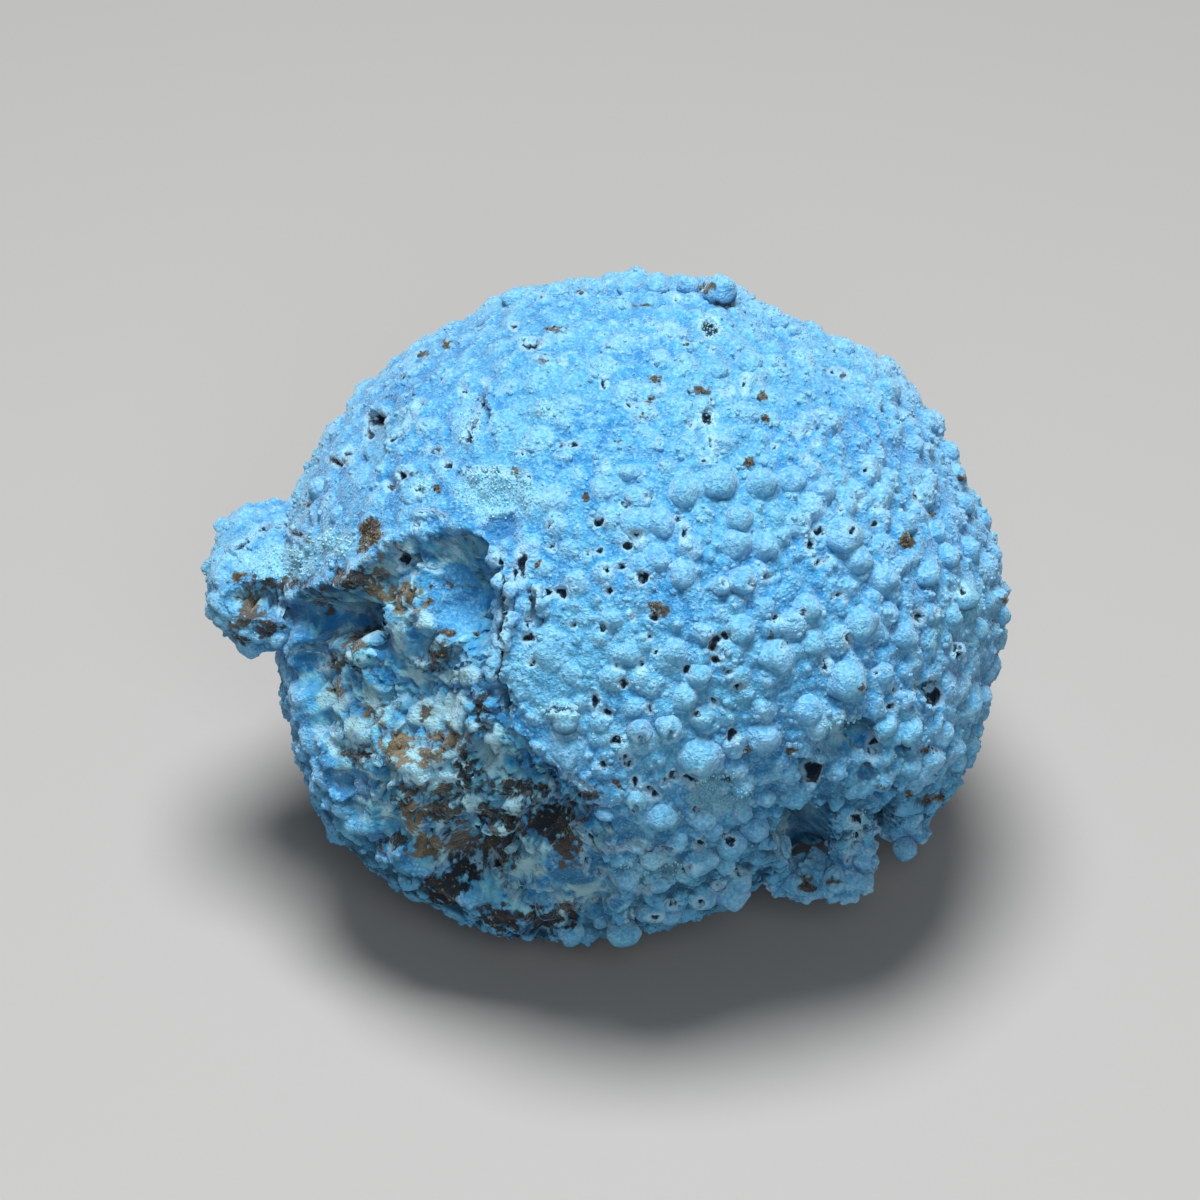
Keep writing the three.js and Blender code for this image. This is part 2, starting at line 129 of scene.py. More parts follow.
# Craters in the tops of lumps, dark pits and brown earthy specks: x, y, half width and half height in pixels.
CRATERS = np.array([
    [708, 325, 8, 8], [706, 417, 6, 6], [635, 535, 6, 6], [642, 577, 6, 6], [725, 581, 3, 3],
    [752, 583, 4, 4], [852, 529, 3, 3], [962, 588, 4, 4], [644, 742, 5, 5], [616, 741, 4, 4],
    [673, 735, 4, 4], [858, 817, 6, 5], [419, 491, 4, 4], [960, 655, 4, 4], [803, 611, 3, 3],
    [625, 504, 3, 3], [605, 465, 3, 3], [637, 809, 3, 3],
])
PITS = np.array([
    [548, 526, 2, 2], [598, 521, 6, 4], [551, 547, 3, 3], [514, 574, 2, 6], [588, 553, 2, 2],
    [599, 551, 2, 2], [627, 546, 4, 4], [684, 533, 3, 6], [606, 571, 3, 3], [622, 566, 4, 4],
    [548, 593, 3, 3], [561, 593, 6, 6], [609, 592, 3, 3], [574, 624, 3, 3], [604, 629, 3, 3],
    [632, 619, 2, 2], [649, 636, 3, 3], [528, 639, 5, 5], [532, 662, 3, 3], [617, 666, 3, 3],
    [642, 665, 3, 5], [657, 651, 2, 2], [687, 669, 4, 4], [726, 634, 4, 4], [717, 638, 4, 4],
    [714, 647, 4, 4], [717, 660, 4, 4], [730, 672, 3, 3], [740, 685, 5, 3], [624, 683, 4, 4],
    [715, 702, 3, 3], [696, 713, 3, 3], [596, 702, 3, 7], [608, 713, 4, 4], [650, 708, 3, 3],
    [677, 518, 2, 2], [648, 497, 3, 3], [819, 530, 5, 5], [810, 543, 3, 6], [818, 561, 3, 3],
    [827, 557, 3, 3], [767, 575, 3, 3], [878, 505, 3, 3], [858, 499, 2, 4], [841, 507, 2, 2],
    [874, 521, 2, 2], [915, 492, 2, 5], [867, 466, 3, 3], [938, 609, 2, 2], [920, 615, 4, 6],
    [849, 638, 3, 5], [827, 663, 3, 6], [877, 670, 2, 2], [957, 645, 4, 3], [935, 695, 8, 8],
    [933, 678, 3, 3], [919, 685, 3, 3], [833, 595, 2, 2], [841, 592, 2, 2], [846, 597, 2, 2],
    [777, 618, 3, 3], [785, 643, 3, 3], [896, 688, 3, 3], [893, 704, 4, 4], [873, 745, 5, 11],
    [813, 768, 8, 11], [831, 369, 3, 3], [844, 372, 3, 3], [744, 384, 2, 6], [730, 389, 2, 2],
    [722, 391, 2, 2], [815, 440, 3, 3], [797, 429, 2, 4], [807, 429, 2, 2], [773, 446, 2, 2],
    [805, 456, 2, 2], [691, 424, 3, 3], [711, 440, 2, 4], [658, 441, 2, 2], [705, 460, 2, 2],
    [661, 386, 2, 2], [710, 350, 2, 2], [673, 298, 2, 2], [717, 452, 2, 2], [461, 391, 3, 3],
    [484, 382, 3, 3], [573, 445, 4, 3], [560, 444, 2, 2], [602, 384, 3, 3], [628, 404, 3, 2],
    [562, 362, 2, 2], [446, 465, 4, 3], [521, 452, 3, 3], [511, 326, 3, 3], [415, 526, 3, 3],
    [443, 517, 2, 2], [626, 756, 3, 3], [631, 763, 3, 3], [603, 766, 3, 2], [675, 775, 5, 4],
    [666, 782, 3, 3], [694, 780, 5, 6], [637, 783, 3, 5], [650, 789, 4, 3], [655, 796, 4, 3],
    [698, 810, 3, 3], [732, 839, 5, 5], [734, 735, 5, 6], [860, 833, 3, 5], [853, 845, 2, 4],
    [851, 857, 3, 3], [654, 616, 4, 4], [529, 345, 8, 5], [434, 451, 6, 3], [404, 560, 5, 8],
    [499, 566, 4, 10], [521, 566, 4, 14], [374, 421, 9, 6], [338, 463, 8, 4], [368, 435, 4, 4],
    [349, 454, 4, 4], [388, 486, 4, 4], [399, 475, 4, 4], [608, 893, 5, 3], [647, 890, 5, 3],
    [632, 915, 3, 3], [658, 918, 4, 2], [675, 905, 5, 3], [702, 903, 4, 3], [721, 886, 5, 3],
    [741, 872, 5, 3], [603, 873, 3, 4], [668, 850, 5, 3], [702, 845, 4, 4], [690, 868, 5, 2],
    [688, 778, 6, 3], [640, 842, 4, 3], [615, 850, 3, 3],
])
SPECKS = np.array([
    [658, 609, 9, 9], [748, 460, 5, 7], [538, 563, 5, 5], [586, 499, 4, 4], [516, 472, 4, 3],
    [616, 441, 5, 3], [726, 650, 3, 3], [725, 666, 3, 3], [906, 539, 7, 10], [932, 512, 3, 3],
    [962, 475, 5, 5], [1004, 597, 5, 5], [773, 632, 4, 4], [992, 619, 3, 3], [988, 684, 3, 3],
    [766, 674, 2, 2], [793, 750, 7, 3], [931, 748, 8, 5], [881, 786, 6, 3], [910, 792, 4, 4],
    [936, 797, 11, 6], [837, 815, 3, 3], [748, 749, 7, 4], [704, 287, 8, 6], [684, 344, 5, 3],
    [652, 378, 5, 3], [710, 399, 5, 3], [697, 391, 9, 4], [763, 395, 6, 6], [766, 420, 5, 7],
    [648, 401, 4, 3], [642, 415, 6, 4], [715, 303, 3, 3], [726, 304, 3, 3], [549, 329, 10, 3],
    [543, 361, 5, 4], [421, 354, 4, 3], [578, 292, 3, 2], [591, 291, 3, 2], [643, 304, 5, 2],
    [405, 379, 4, 3], [541, 297, 6, 2], [476, 326, 4, 2], [446, 346, 5, 5], [437, 491, 5, 6],
    [402, 549, 3, 3], [414, 474, 3, 2], [465, 539, 3, 3], [637, 771, 2, 2], [619, 785, 4, 6],
    [721, 734, 3, 4], [862, 685, 4, 3], [370, 534, 11, 14], [362, 549, 5, 9], [234, 581, 4, 7],
    [307, 507, 8, 2], [809, 882, 8, 9], [836, 881, 7, 4], [449, 635, 8, 3], [466, 586, 4, 3],
    [431, 604, 4, 4], [433, 586, 3, 3], [448, 586, 3, 3], [478, 637, 3, 3],
])

# Brown earthy stains of the broken face, laid out like the pits. The last number is how dark each is.
STAINS = np.array([
    [429, 757, 12, 7, 0.3], [466, 767, 9, 14, 0.9], [506, 785, 18, 6, 0.8], [407, 801, 9, 9, 0.6],
    [413, 815, 10, 11, 0.2], [447, 811, 15, 11, 0.7], [463, 840, 12, 11, 0.5], [488, 811, 9, 9, 1.0],
    [513, 824, 9, 13, 0.8], [493, 842, 17, 11, 0.5], [556, 820, 24, 18, 0.8], [568, 847, 12, 14, 0.5],
    [400, 842, 11, 5, 0.9], [431, 847, 15, 10, 0.3], [449, 892, 20, 15, 0.9], [472, 866, 18, 9, 1.0],
    [500, 920, 16, 12, 0.8], [549, 920, 22, 10, 1.0], [506, 857, 10, 12, 0.8], [591, 795, 10, 6, 0.7],
    [568, 906, 12, 5, 0.6], [441, 792, 12, 3, 0.6], [350, 582, 16, 10, 0.9], [377, 580, 8, 14, 0.3],
    [405, 598, 14, 10, 0.2], [355, 645, 9, 9, 0.3], [370, 632, 8, 4, 0.8], [338, 667, 7, 7, 0.5],
    [360, 663, 5, 4, 0.6], [437, 655, 9, 9, 0.6], [337, 690, 5, 4, 0.4], [377, 722, 4, 9, 0.2],
    [397, 747, 10, 16, 0.2], [447, 741, 14, 9, 0.35], [399, 604, 7, 6, 0.5], [425, 713, 4, 5, 0.5],
    [363, 758, 12, 5, 0.8], [480, 713, 5, 14, 0.8], [251, 622, 14, 6, 0.5], [263, 632, 10, 5, 0.8],
    [234, 641, 9, 4, 0.8], [272, 586, 18, 4, 0.7], [322, 603, 8, 8, 0.6], [322, 860, 6, 4, 0.6],
    [530, 790, 16, 3, 0.7], [250, 600, 9, 8, 0.2],
])

# Pale plates of the broken face, pockets of deep blue that are partly the stone's own blue and partly painted
# shade in recesses, and pale granular patches.
PLATES = np.array([
    [333, 703, 19, 11], [375, 698, 10, 13], [358, 733, 12, 15], [430, 715, 18, 15], [465, 677, 20, 9],
    [418, 673, 9, 15], [493, 755, 12, 20], [417, 762, 27, 13], [320, 670, 10, 5], [423, 620, 15, 12],
    [390, 572, 9, 5], [415, 829, 9, 8], [436, 845, 8, 6], [429, 781, 28, 9], [470, 804, 8, 9],
    [518, 804, 7, 17], [591, 856, 12, 20], [556, 854, 12, 7], [455, 712, 12, 20], [400, 640, 9, 14],
    [338, 760, 14, 10], [532, 868, 18, 12], [585, 885, 15, 9], [355, 612, 10, 6], [395, 855, 9, 16],
])
DEEPS = np.array([
    [381, 649, 7, 24], [411, 622, 5, 4], [417, 661, 4, 4], [509, 704, 9, 15], [357, 788, 26, 16],
    [310, 658, 16, 13], [363, 623, 18, 10], [400, 790, 20, 6], [378, 845, 14, 12], [466, 868, 20, 10],
    [486, 822, 8, 8], [375, 419, 7, 6], [363, 460, 5, 5], [341, 465, 9, 3], [387, 437, 4, 4],
    [398, 476, 6, 4], [390, 482, 7, 5], [478, 407, 4, 10], [470, 437, 4, 8], [402, 390, 6, 2],
    [391, 404, 3, 10], [500, 528, 20, 12], [433, 451, 6, 3], [330, 625, 14, 12], [320, 640, 12, 9],
    [528, 756, 10, 8], [548, 770, 12, 6], [312, 612, 22, 11], [268, 612, 26, 9], [800, 836, 12, 22],
    [420, 560, 20, 6], [610, 905, 12, 8],
])
FROST = np.array([
    [496, 493, 42, 26], [278, 564, 40, 18], [842, 727, 22, 15], [723, 793, 30, 24], [658, 869, 36, 14],
    [547, 413, 12, 10], [708, 325, 14, 14], [706, 417, 12, 12], [420, 487, 12, 12], [859, 820, 13, 13],
    [857, 840, 8, 14], [633, 742, 24, 9], [560, 711, 20, 12], [960, 590, 11, 9], [470, 425, 12, 20],
    [330, 545, 24, 14],
])
SMOOTH = np.array([[455, 602, 32, 42], [578, 862, 34, 26]])  # where the broken face is worn smooth

# Cracks: from x, y to x, y, and width.
CRACKS = np.array([
    [420, 405, 407, 431, 2.5], [407, 431, 393, 443, 3], [484, 399, 468, 440, 4], [503, 580, 507, 613, 4],
    [507, 613, 500, 637, 4], [500, 637, 503, 655, 3], [503, 655, 496, 680, 3], [532, 590, 535, 607, 4],
    [535, 607, 527, 624, 4], [401, 553, 426, 568, 1.5], [426, 568, 437, 571, 2], [238, 552, 262, 533, 3],
    [262, 533, 285, 529, 4], [285, 529, 312, 545, 3], [568, 772, 589, 786, 2], [523, 797, 559, 799, 2],
    [581, 824, 602, 847, 3], [602, 847, 640, 843, 3], [640, 843, 652, 852, 2], [495, 854, 516, 897, 5],
    [585, 847, 587, 869, 1.5], [466, 472, 498, 474, 2], [498, 474, 530, 478, 1.5], [317, 732, 345, 732, 3],
    [550, 710, 572, 712, 2], [418, 515, 436, 512, 1.5], [385, 548, 398, 545, 1.5],
])
RAGGED = 3.0  # how far the edges of places stray, in pixels
LEFT_PART = (760, 520)  # the crust is flatter on the left, from one x to the other
ABOVE_PART = (800, 720)  # and above this, from one y to the other
FLATTER_LEFT = 0.35  # by this share
LOWER_PART = (770, 850)  # the crust is rougher low at the front
ROUGHER_LOW = 0.3
CRUST_SUNK = 0.25  # the outline runs over the lumps, so the crust between them lies this much further in

SMALL_LUMPS = ((2200, (0.45, 0.85, 0.55)), (5200, (0.28, 0.45, 0.55)))  # how many, and their radii and rise
LOBE_LUMPS = (0.35, 0.7, 0.6)  # the lobes' lumps: least and largest radius, and rise
LUMP_GAP = 0.68  # how near two lumps may be, over the sum of their radii
CRUST_BUMPS = ((1.0, 0.3), (0.46, 0.13))  # size and height
CRUST_ROLL = ((1.6, 0.12), (0.4, 0.05))
PIT_DEPTH = 0.45
DEEP_DEPTH = 0.25
CRACK_LIP = 0.22
AT_ONCE = 4096  # how many points are held against all lumps at a time
NO_LUMP = np.array([[0, 0, 0, 0.1, 0.0]])  # one flat lump, for a form that has none

BALL_STEPS = 9  # steps along each side of a ball's grid
BALL_SIZE = (0.94, 0.09)  # a ball's radius: this share of its lump's radius and this much more
BALL_SKIN = 0.45  # the share of the crust's relief that a ball has
PROUD = ((0.4, 870, 920), (0.6, 330, 300))  # balls stand out more by this share, from one y to the other
BEAD = 8  # lumps under this radius in pixels stand clear, as beads along the lips of the broken face
GRANULES_A_PIECE = 9000
SPARSER_LEFT = (2, -7)  # fewer granules on the left, from one x in millimetres to the other
GRAIN_POINTS = 12

TUFT = 0.25  # width of the tufts of needles in the crust

FLOOR_GREY = "#a6a6a4"
DAYLIGHT = (0.9, 0.93, 1, 1)
LIGHTS = (("key", (-0.01, -0.01, 0.38), 0.18, 2.0), ("front", (0.04, -0.3, 0.26), 0.16, 0.4))
PHOTO_WIDTH = 1200


def ease(start, stop, x):
    """A smooth step from 0 at start to 1 at stop."""
    t = np.clip((x - start) / (stop - start), 0, 1)
    return t * t * (3 - 2 * t)


def chance(n):
    """A number from 0 to 1 that looks random: the fractional part of a large multiple of a sine."""
    n = np.sin(n) * 43758.5453
    return n - np.floor(n)


def unit(v):
    return v / np.linalg.norm(v, axis=-1, keepdims=True)


def outline_radius(angle):
    """A smooth closed curve through the outline's radii: a cubic between two, with the slopes of the next."""
    n = len(OUTLINE)
    at = (angle / (2 * math.pi) * n + 2 * n) % n
    i = np.floor(at).astype(int)
    t = at - i
    a, b, c, d = (OUTLINE[(i + k) % n] for k in (n - 1, 0, 1, 2))
    return b + 0.5 * t * (c - a + t * (2 * a - 5 * b + 4 * c - d + t * (3 * (b - c) + d - a)))


def body_radius(v, depth):
    """The body: an ellipse in each plane through the line of sight, as wide as the outline there."""
    facing = v[:, 2] ** 2
    side = outline_radius(np.arctan2(v[:, 1], v[:, 0]))
    return 1 / np.sqrt((1 - facing) / side**2 + facing / depth**2)


def pixel_of(p, distance):
    """The pixel at which the viewer sees each point: nearer points are spread out by the distance's ratio."""
    k = distance / (distance - p[:, 2])
    return MIDDLE_PX + p[:, :2] * k[:, None] * np.array([1, -1]) * PX_PER_MM


def on_body(pixel, shape):
    """The points of the body seen at these pixels: a stretch of the line of sight is halved down to them."""
    at = (pixel - MIDDLE_PX) * np.array([1, -1]) / PX_PER_MM
    inside, outside = np.zeros(len(at)), np.full(len(at), 24.0)
    for _ in range(30):
        z = (inside + outside) / 2
        p = np.column_stack([at * ((shape.view_distance - z) / shape.view_distance)[:, None], z])
        within = np.linalg.norm(p, axis=1) < body_radius(unit(p), shape.depth)
        inside, outside = np.where(within, z, inside), np.where(within, outside, z)
    p = unit(p)
    return p * body_radius(p, shape.depth)[:, None]


def inside_line(at, line):
    """The distance in pixels from each place to a closed line, negative inside it."""
    nearest = np.full(len(at), np.inf)
    within = np.zeros(len(at), bool)
    for a, b in zip(line, np.roll(line, -1, axis=0)):
        side = b - a
        t = np.clip(((at - a) @ side) / (side @ side), 0, 1)
        nearest = np.minimum(nearest, np.hypot(*(at - a - t[:, None] * side).T))
        crosses = (a[1] > at[:, 1]) != (b[1] > at[:, 1])
        if side[1]:
            within ^= crosses & (at[:, 0] < side[0] * (at[:, 1] - a[1]) / side[1] + a[0])
    return np.where(within, -nearest, nearest)


def broken(p, shape):
    """How much of each point is in the broken face: 1 inside its line, 0 outside and round the back."""
    edge = inside_line(pixel_of(p, shape.view_distance), BROKEN_FACE) / PX_PER_MM + 0.3 * clouds(p, 0.9)
    return ease(0.35, -0.35, edge) * ease(-2, 1, p[:, 2]) * (p[:, 2] >= -2)


def cells(p, size):
    """The nearest of a set of scattered middles, one to each cube of space.

    Returns the distance to it and to the next, the way from it and a number that is its own.
    """
    home = np.floor(p / size)
    near = np.full(len(p), np.inf)
    second = near.copy()
    way = np.zeros_like(p)
    number = np.zeros(len(p))
    for i in (-1, 0, 1):
        for j in (-1, 0, 1):
            for k in (-1, 0, 1):
                c = home + (i, j, k)
                seed = c @ np.array([12.9898, 78.233, 37.719])
                middle = (c + np.column_stack([chance(seed + a) for a in range(3)])) * size
                d = np.linalg.norm(p - middle, axis=1)
                first = d < near
                second = np.where(first, near, np.minimum(second, d))
                way = np.where(first[:, None], p - middle, way)
                number = np.where(first, seed, number)
                near = np.where(first, d, near)
    return near, second, way, number


def clouds(p, size):
    """Smooth noise from -1 to 1: a random number at each corner of cubes of this size, blended between."""
    home = np.floor(p / size)
    t = p / size - home
    t = t * t * (3 - 2 * t)
    total = np.zeros(len(p))
    for i in (0, 1):
        for j in (0, 1):
            for k in (0, 1):
                share = np.abs(1 - np.array([i, j, k]) - t).prod(1)
                total += share * chance((home + (i, j, k)) @ np.array([17.137, 91.311, 43.773]))
    return 2 * total - 1


def across(at, x, y, half_x, half_y):
    """How far out each pixel is in an ellipse: 0 in its middle and 1 on its edge."""
    return np.hypot((at[:, 0] - x) / half_x, (at[:, 1] - y) / half_y)


def ellipses(at, places):
    """The distance in millimetres from each pixel to the edge of the nearest ellipse, negative inside."""
    nearest = np.full(len(at), np.inf)
    for place in places:
        edge = (across(at, *place[:4]) - 1) * min(place[2:4]) / PX_PER_MM
        nearest = np.minimum(nearest, edge)
    return nearest


def darkness(at):
    """How dark the nearest stain is at each pixel."""
    nearest, dark = np.full(len(at), np.inf), np.zeros(len(at))
    for *place, tone in STAINS:
        out = across(at, *place)
        dark = np.where(out < nearest, tone, dark)
        nearest = np.minimum(nearest, out)
    return dark


def cracks(at):
    """The distance in millimetres from each pixel to the side of the nearest crack, negative inside."""
    nearest = np.full(len(at), np.inf)
    for *ends, width in CRACKS:
        a, b = np.array(ends).reshape(2, 2)
        t = np.clip(((at - a) @ (b - a)) / ((b - a) @ (b - a)), 0, 1)
        away = np.hypot(*(at - a - t[:, None] * (b - a)).T)
        nearest = np.minimum(nearest, (away - width / 2) / PX_PER_MM)
    return nearest


def hollow_depth(p, shape):
    """The hollows' depth: each falls smoothly from its rim to its floor."""
    at = pixel_of(p, shape.view_distance)
    total = np.zeros(len(p))
    for *place, depth in HOLLOWS:
        total += depth * ease(1.2, 0.55, across(at, *place))
    return total * ease(-5, -1, p[:, 2])


def down(v, shape):
    """How much each direction points to the ground."""
    return v @ np.array([0, -math.cos(shape.view_tilt), -math.sin(shape.view_tilt)])


def crust_share(v, p, shape):
    """The share of a lump's height that each point gets: none in a break, a hollow or underneath."""
    return (1 - broken(p, shape)) * ease(1.6, 0.5, hollow_depth(p, shape)) * ease(0.965, 0.93, down(v, shape))


def spiral(count):
    """Directions spread evenly over a sphere: each is a golden angle further round and a step lower."""
    i = np.arange(count)
    y = 1 - (2 * (i + 0.5)) / count
    r = np.sqrt(1 - y * y)
    return np.column_stack([r * np.cos(i * GOLDEN), y, r * np.sin(i * GOLDEN)])


def scattered(lumps, p, share, sizes):
    """Adds smaller lumps at points that are clear of the ones before. Rows are middle, radius and height."""
    least, most, rise = sizes
    i = np.arange(len(p))
    radius = least + (most - least) * chance(i + 0.5) ** 2
    for k in np.nonzero(share > 0.5)[0]:
        if (np.linalg.norm(lumps[:, :3] - p[k], axis=1) > LUMP_GAP * (lumps[:, 3] + radius[k])).all():
            row = np.array([[*p[k], radius[k], radius[k] * rise * (0.5 + chance(k * 1.7))]])
            lumps = np.concatenate([lumps, row])
    return lumps


def strewn(count, stray):
    """Spiral directions, each moved a little."""
    i = np.arange(count)
    shift = np.column_stack([chance(3 * i + axis) for axis in range(3)]) - 0.5
    return unit(spiral(count) + shift * stray / math.sqrt(count))


def body_lumps(shape):
    """All lumps of the body: those that are seen, then smaller ones between them and round the back."""
    radius = LUMPS[:, 2] / PX_PER_MM * 1.05
    lumps = np.column_stack([on_body(LUMPS[:, :2], shape), radius, radius * shape.mound])
    for count, sizes in SMALL_LUMPS:
        v = strewn(count, 2.4)
        p = v * body_radius(v, shape.depth)[:, None]
        lumps = scattered(lumps, p, crust_share(v, p, shape), sizes)
    return lumps


def lump_height(p, lumps):
    """The height of the highest lump over each point, a cap of a ball, and a pale ring near the base of each
    large lump that stands for the velvet's sheen: painted sheen.
    """
    height, foot = np.zeros(len(p)), np.zeros(len(p))
    for at in range(0, len(p), AT_ONCE):
        part = p[at : at + AT_ONCE]
        squared = (part**2).sum(1)[:, None] + (lumps[:, :3] ** 2).sum(1) - 2 * part @ lumps[:, :3].T
        left = np.clip(1 - squared / lumps[:, 3] ** 2, 0, 1)
        caps = lumps[:, 4] * np.sqrt(left)
        best = caps.argmax(1)
        row = np.arange(len(part))
        height[at : at + AT_ONCE] = caps[row, best]
        near = np.sqrt(1 - left[row, best])
        size = ease(0.3, 0.7, lumps[best, 3])
        foot[at : at + AT_ONCE] = size * ease(0.66, 0.9, near) * ease(1.0, 0.95, near)
    return height, foot


def sphere_grid(n, nearer):
    """Directions over a sphere, and the four corners of each face between them.

    Each side of a cube is cut by equal angles, and then the tangent of half of each direction's angle from
    the viewer is divided by nearer, which draws the grid closer on the side that is seen.
    """
    t = np.tan(np.linspace(-math.pi / 4, math.pi / 4, n + 1))
    u, w = np.meshgrid(t, t, indexing="ij")
    one = np.ones_like(u)
    sides = [np.roll(np.stack([s * one, u, s * w], -1), axis, -1) for axis in range(3) for s in (1, -1)]
    v = unit(np.concatenate([side.reshape(-1, 3) for side in sides]))
    i = np.arange((n + 1) ** 2).reshape(n + 1, n + 1)
    one_side = np.stack([i[:-1, :-1], i[1:, :-1], i[1:, 1:], i[:-1, 1:]], -1).reshape(-1, 4)
    faces = np.concatenate([one_side + k * (n + 1) ** 2 for k in range(6)])
    _, first, same = np.unique(np.round(v, 6), axis=0, return_index=True, return_inverse=True)
    v = v[first]
    z = v[:, 2:]
    share = nearer**2 * (1 + z) + 1 - z
    v = np.concatenate([2 * nearer * v[:, :2] / share, (nearer**2 * (1 + z) - 1 + z) / share], axis=1)
    return v, same.reshape(-1)[faces]


def standing(p, shape):
    """Points of the viewer's frame in metres in the frame of the model."""
    s, c = math.sin(shape.view_tilt), math.cos(shape.view_tilt)
    turn = np.array([[1, 0, 0], [0, s, c], [0, -c, s]])
    placed = p @ turn + MIDDLE
    return np.column_stack([placed[:, :2], np.maximum(placed[:, 2], 0)]) * MM


def in_view(p, shape):
    """Points of the standing frame, from the nodule's middle, in the viewer's frame."""
    s, c = math.sin(shape.view_tilt), math.cos(shape.view_tilt)
    return p @ np.array([[1, 0, 0], [0, s, -c], [0, c, s]])


def new_piece(name, points, faces, attributes, material, smooth=True):
    """A mesh piece that rides on the nodule, with a number at each point for each attribute."""
    mesh = bpy.data.meshes.new(name)
    mesh.from_pydata(points, [], faces)
    for key, values in attributes.items():
        mesh.attributes.new(key, "FLOAT", "POINT").data.foreach_set("value", values.astype(np.float32))
    mesh.polygons.foreach_set("use_smooth", np.full(len(faces), smooth))
    mesh.materials.append(material)
    mesh.update()
    piece = bpy.data.objects.new(name, mesh)
    bpy.context.collection.objects.link(piece)
    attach(piece, "root")
    return piece


def surface_of(name):
    """A piece's points in mm, the corners of its faces and its numbers."""
    mesh = bpy.data.objects[name].data
    p = np.empty(3 * len(mesh.vertices))
    mesh.vertices.foreach_get("co", p)
    corners = np.empty(len(mesh.loops), np.int32)
    mesh.loops.foreach_get("vertex_index", corners)
    numbers = {}
    for attribute in mesh.attributes:
        if attribute.domain == "POINT" and attribute.data_type == "FLOAT":
            numbers[attribute.name] = np.empty(len(mesh.vertices))
            attribute.data.foreach_get("value", numbers[attribute.name])
    return p.reshape(-1, 3) / MM, corners.reshape(-1, 4), numbers


def normals_of(p, faces):
    """Out of the surface at each point, as long as 8 times its share of the area: crossed diagonals."""
    crossed = np.cross(p[faces[:, 2]] - p[faces[:, 0]], p[faces[:, 3]] - p[faces[:, 1]])
    total = np.zeros_like(p)
    for corner in range(4):
        for axis in range(3):
            total[:, axis] += np.bincount(faces[:, corner], crossed[:, axis], len(p))
    return total


def stray(p, size):
    """Smooth noise in pixels, which makes the edges of places uneven."""
    return RAGGED * np.column_stack([clouds(p + a, size) for a in (5, 47)])


def bent(p, amount, size):
    """Points moved by smooth noise in each direction, so that what is drawn on them has uneven edges."""
    return p + amount * np.column_stack([clouds(p + a, size) for a in (0, 31, 67)])


def broken_relief(p):
    """Broken stone: blocks of three sizes with tilted tops, how near a gap is, and each block's number."""
    relief, gap = np.zeros(len(p)), np.ones(len(p))
    for size, step, slope in BLOCKS:
        near, second, way, number = cells(bent(p, 0.22 * size, 0.8 * size) + 7 * size, size)
        lean = np.column_stack([chance(number + a) - 0.5 for a in (11, 13, 17)])
        relief += step * (chance(number + 3) - 0.5) + slope * (way * lean).sum(1)
        if size > 0.5:
            gap = np.minimum(gap, (second - near) / size)
        if size == TINTED_BLOCK:
            block = number
    return relief - 0.3 * ease(0.1, 0.0, gap), ease(0.12, 0.02, gap), chance(block + 29)


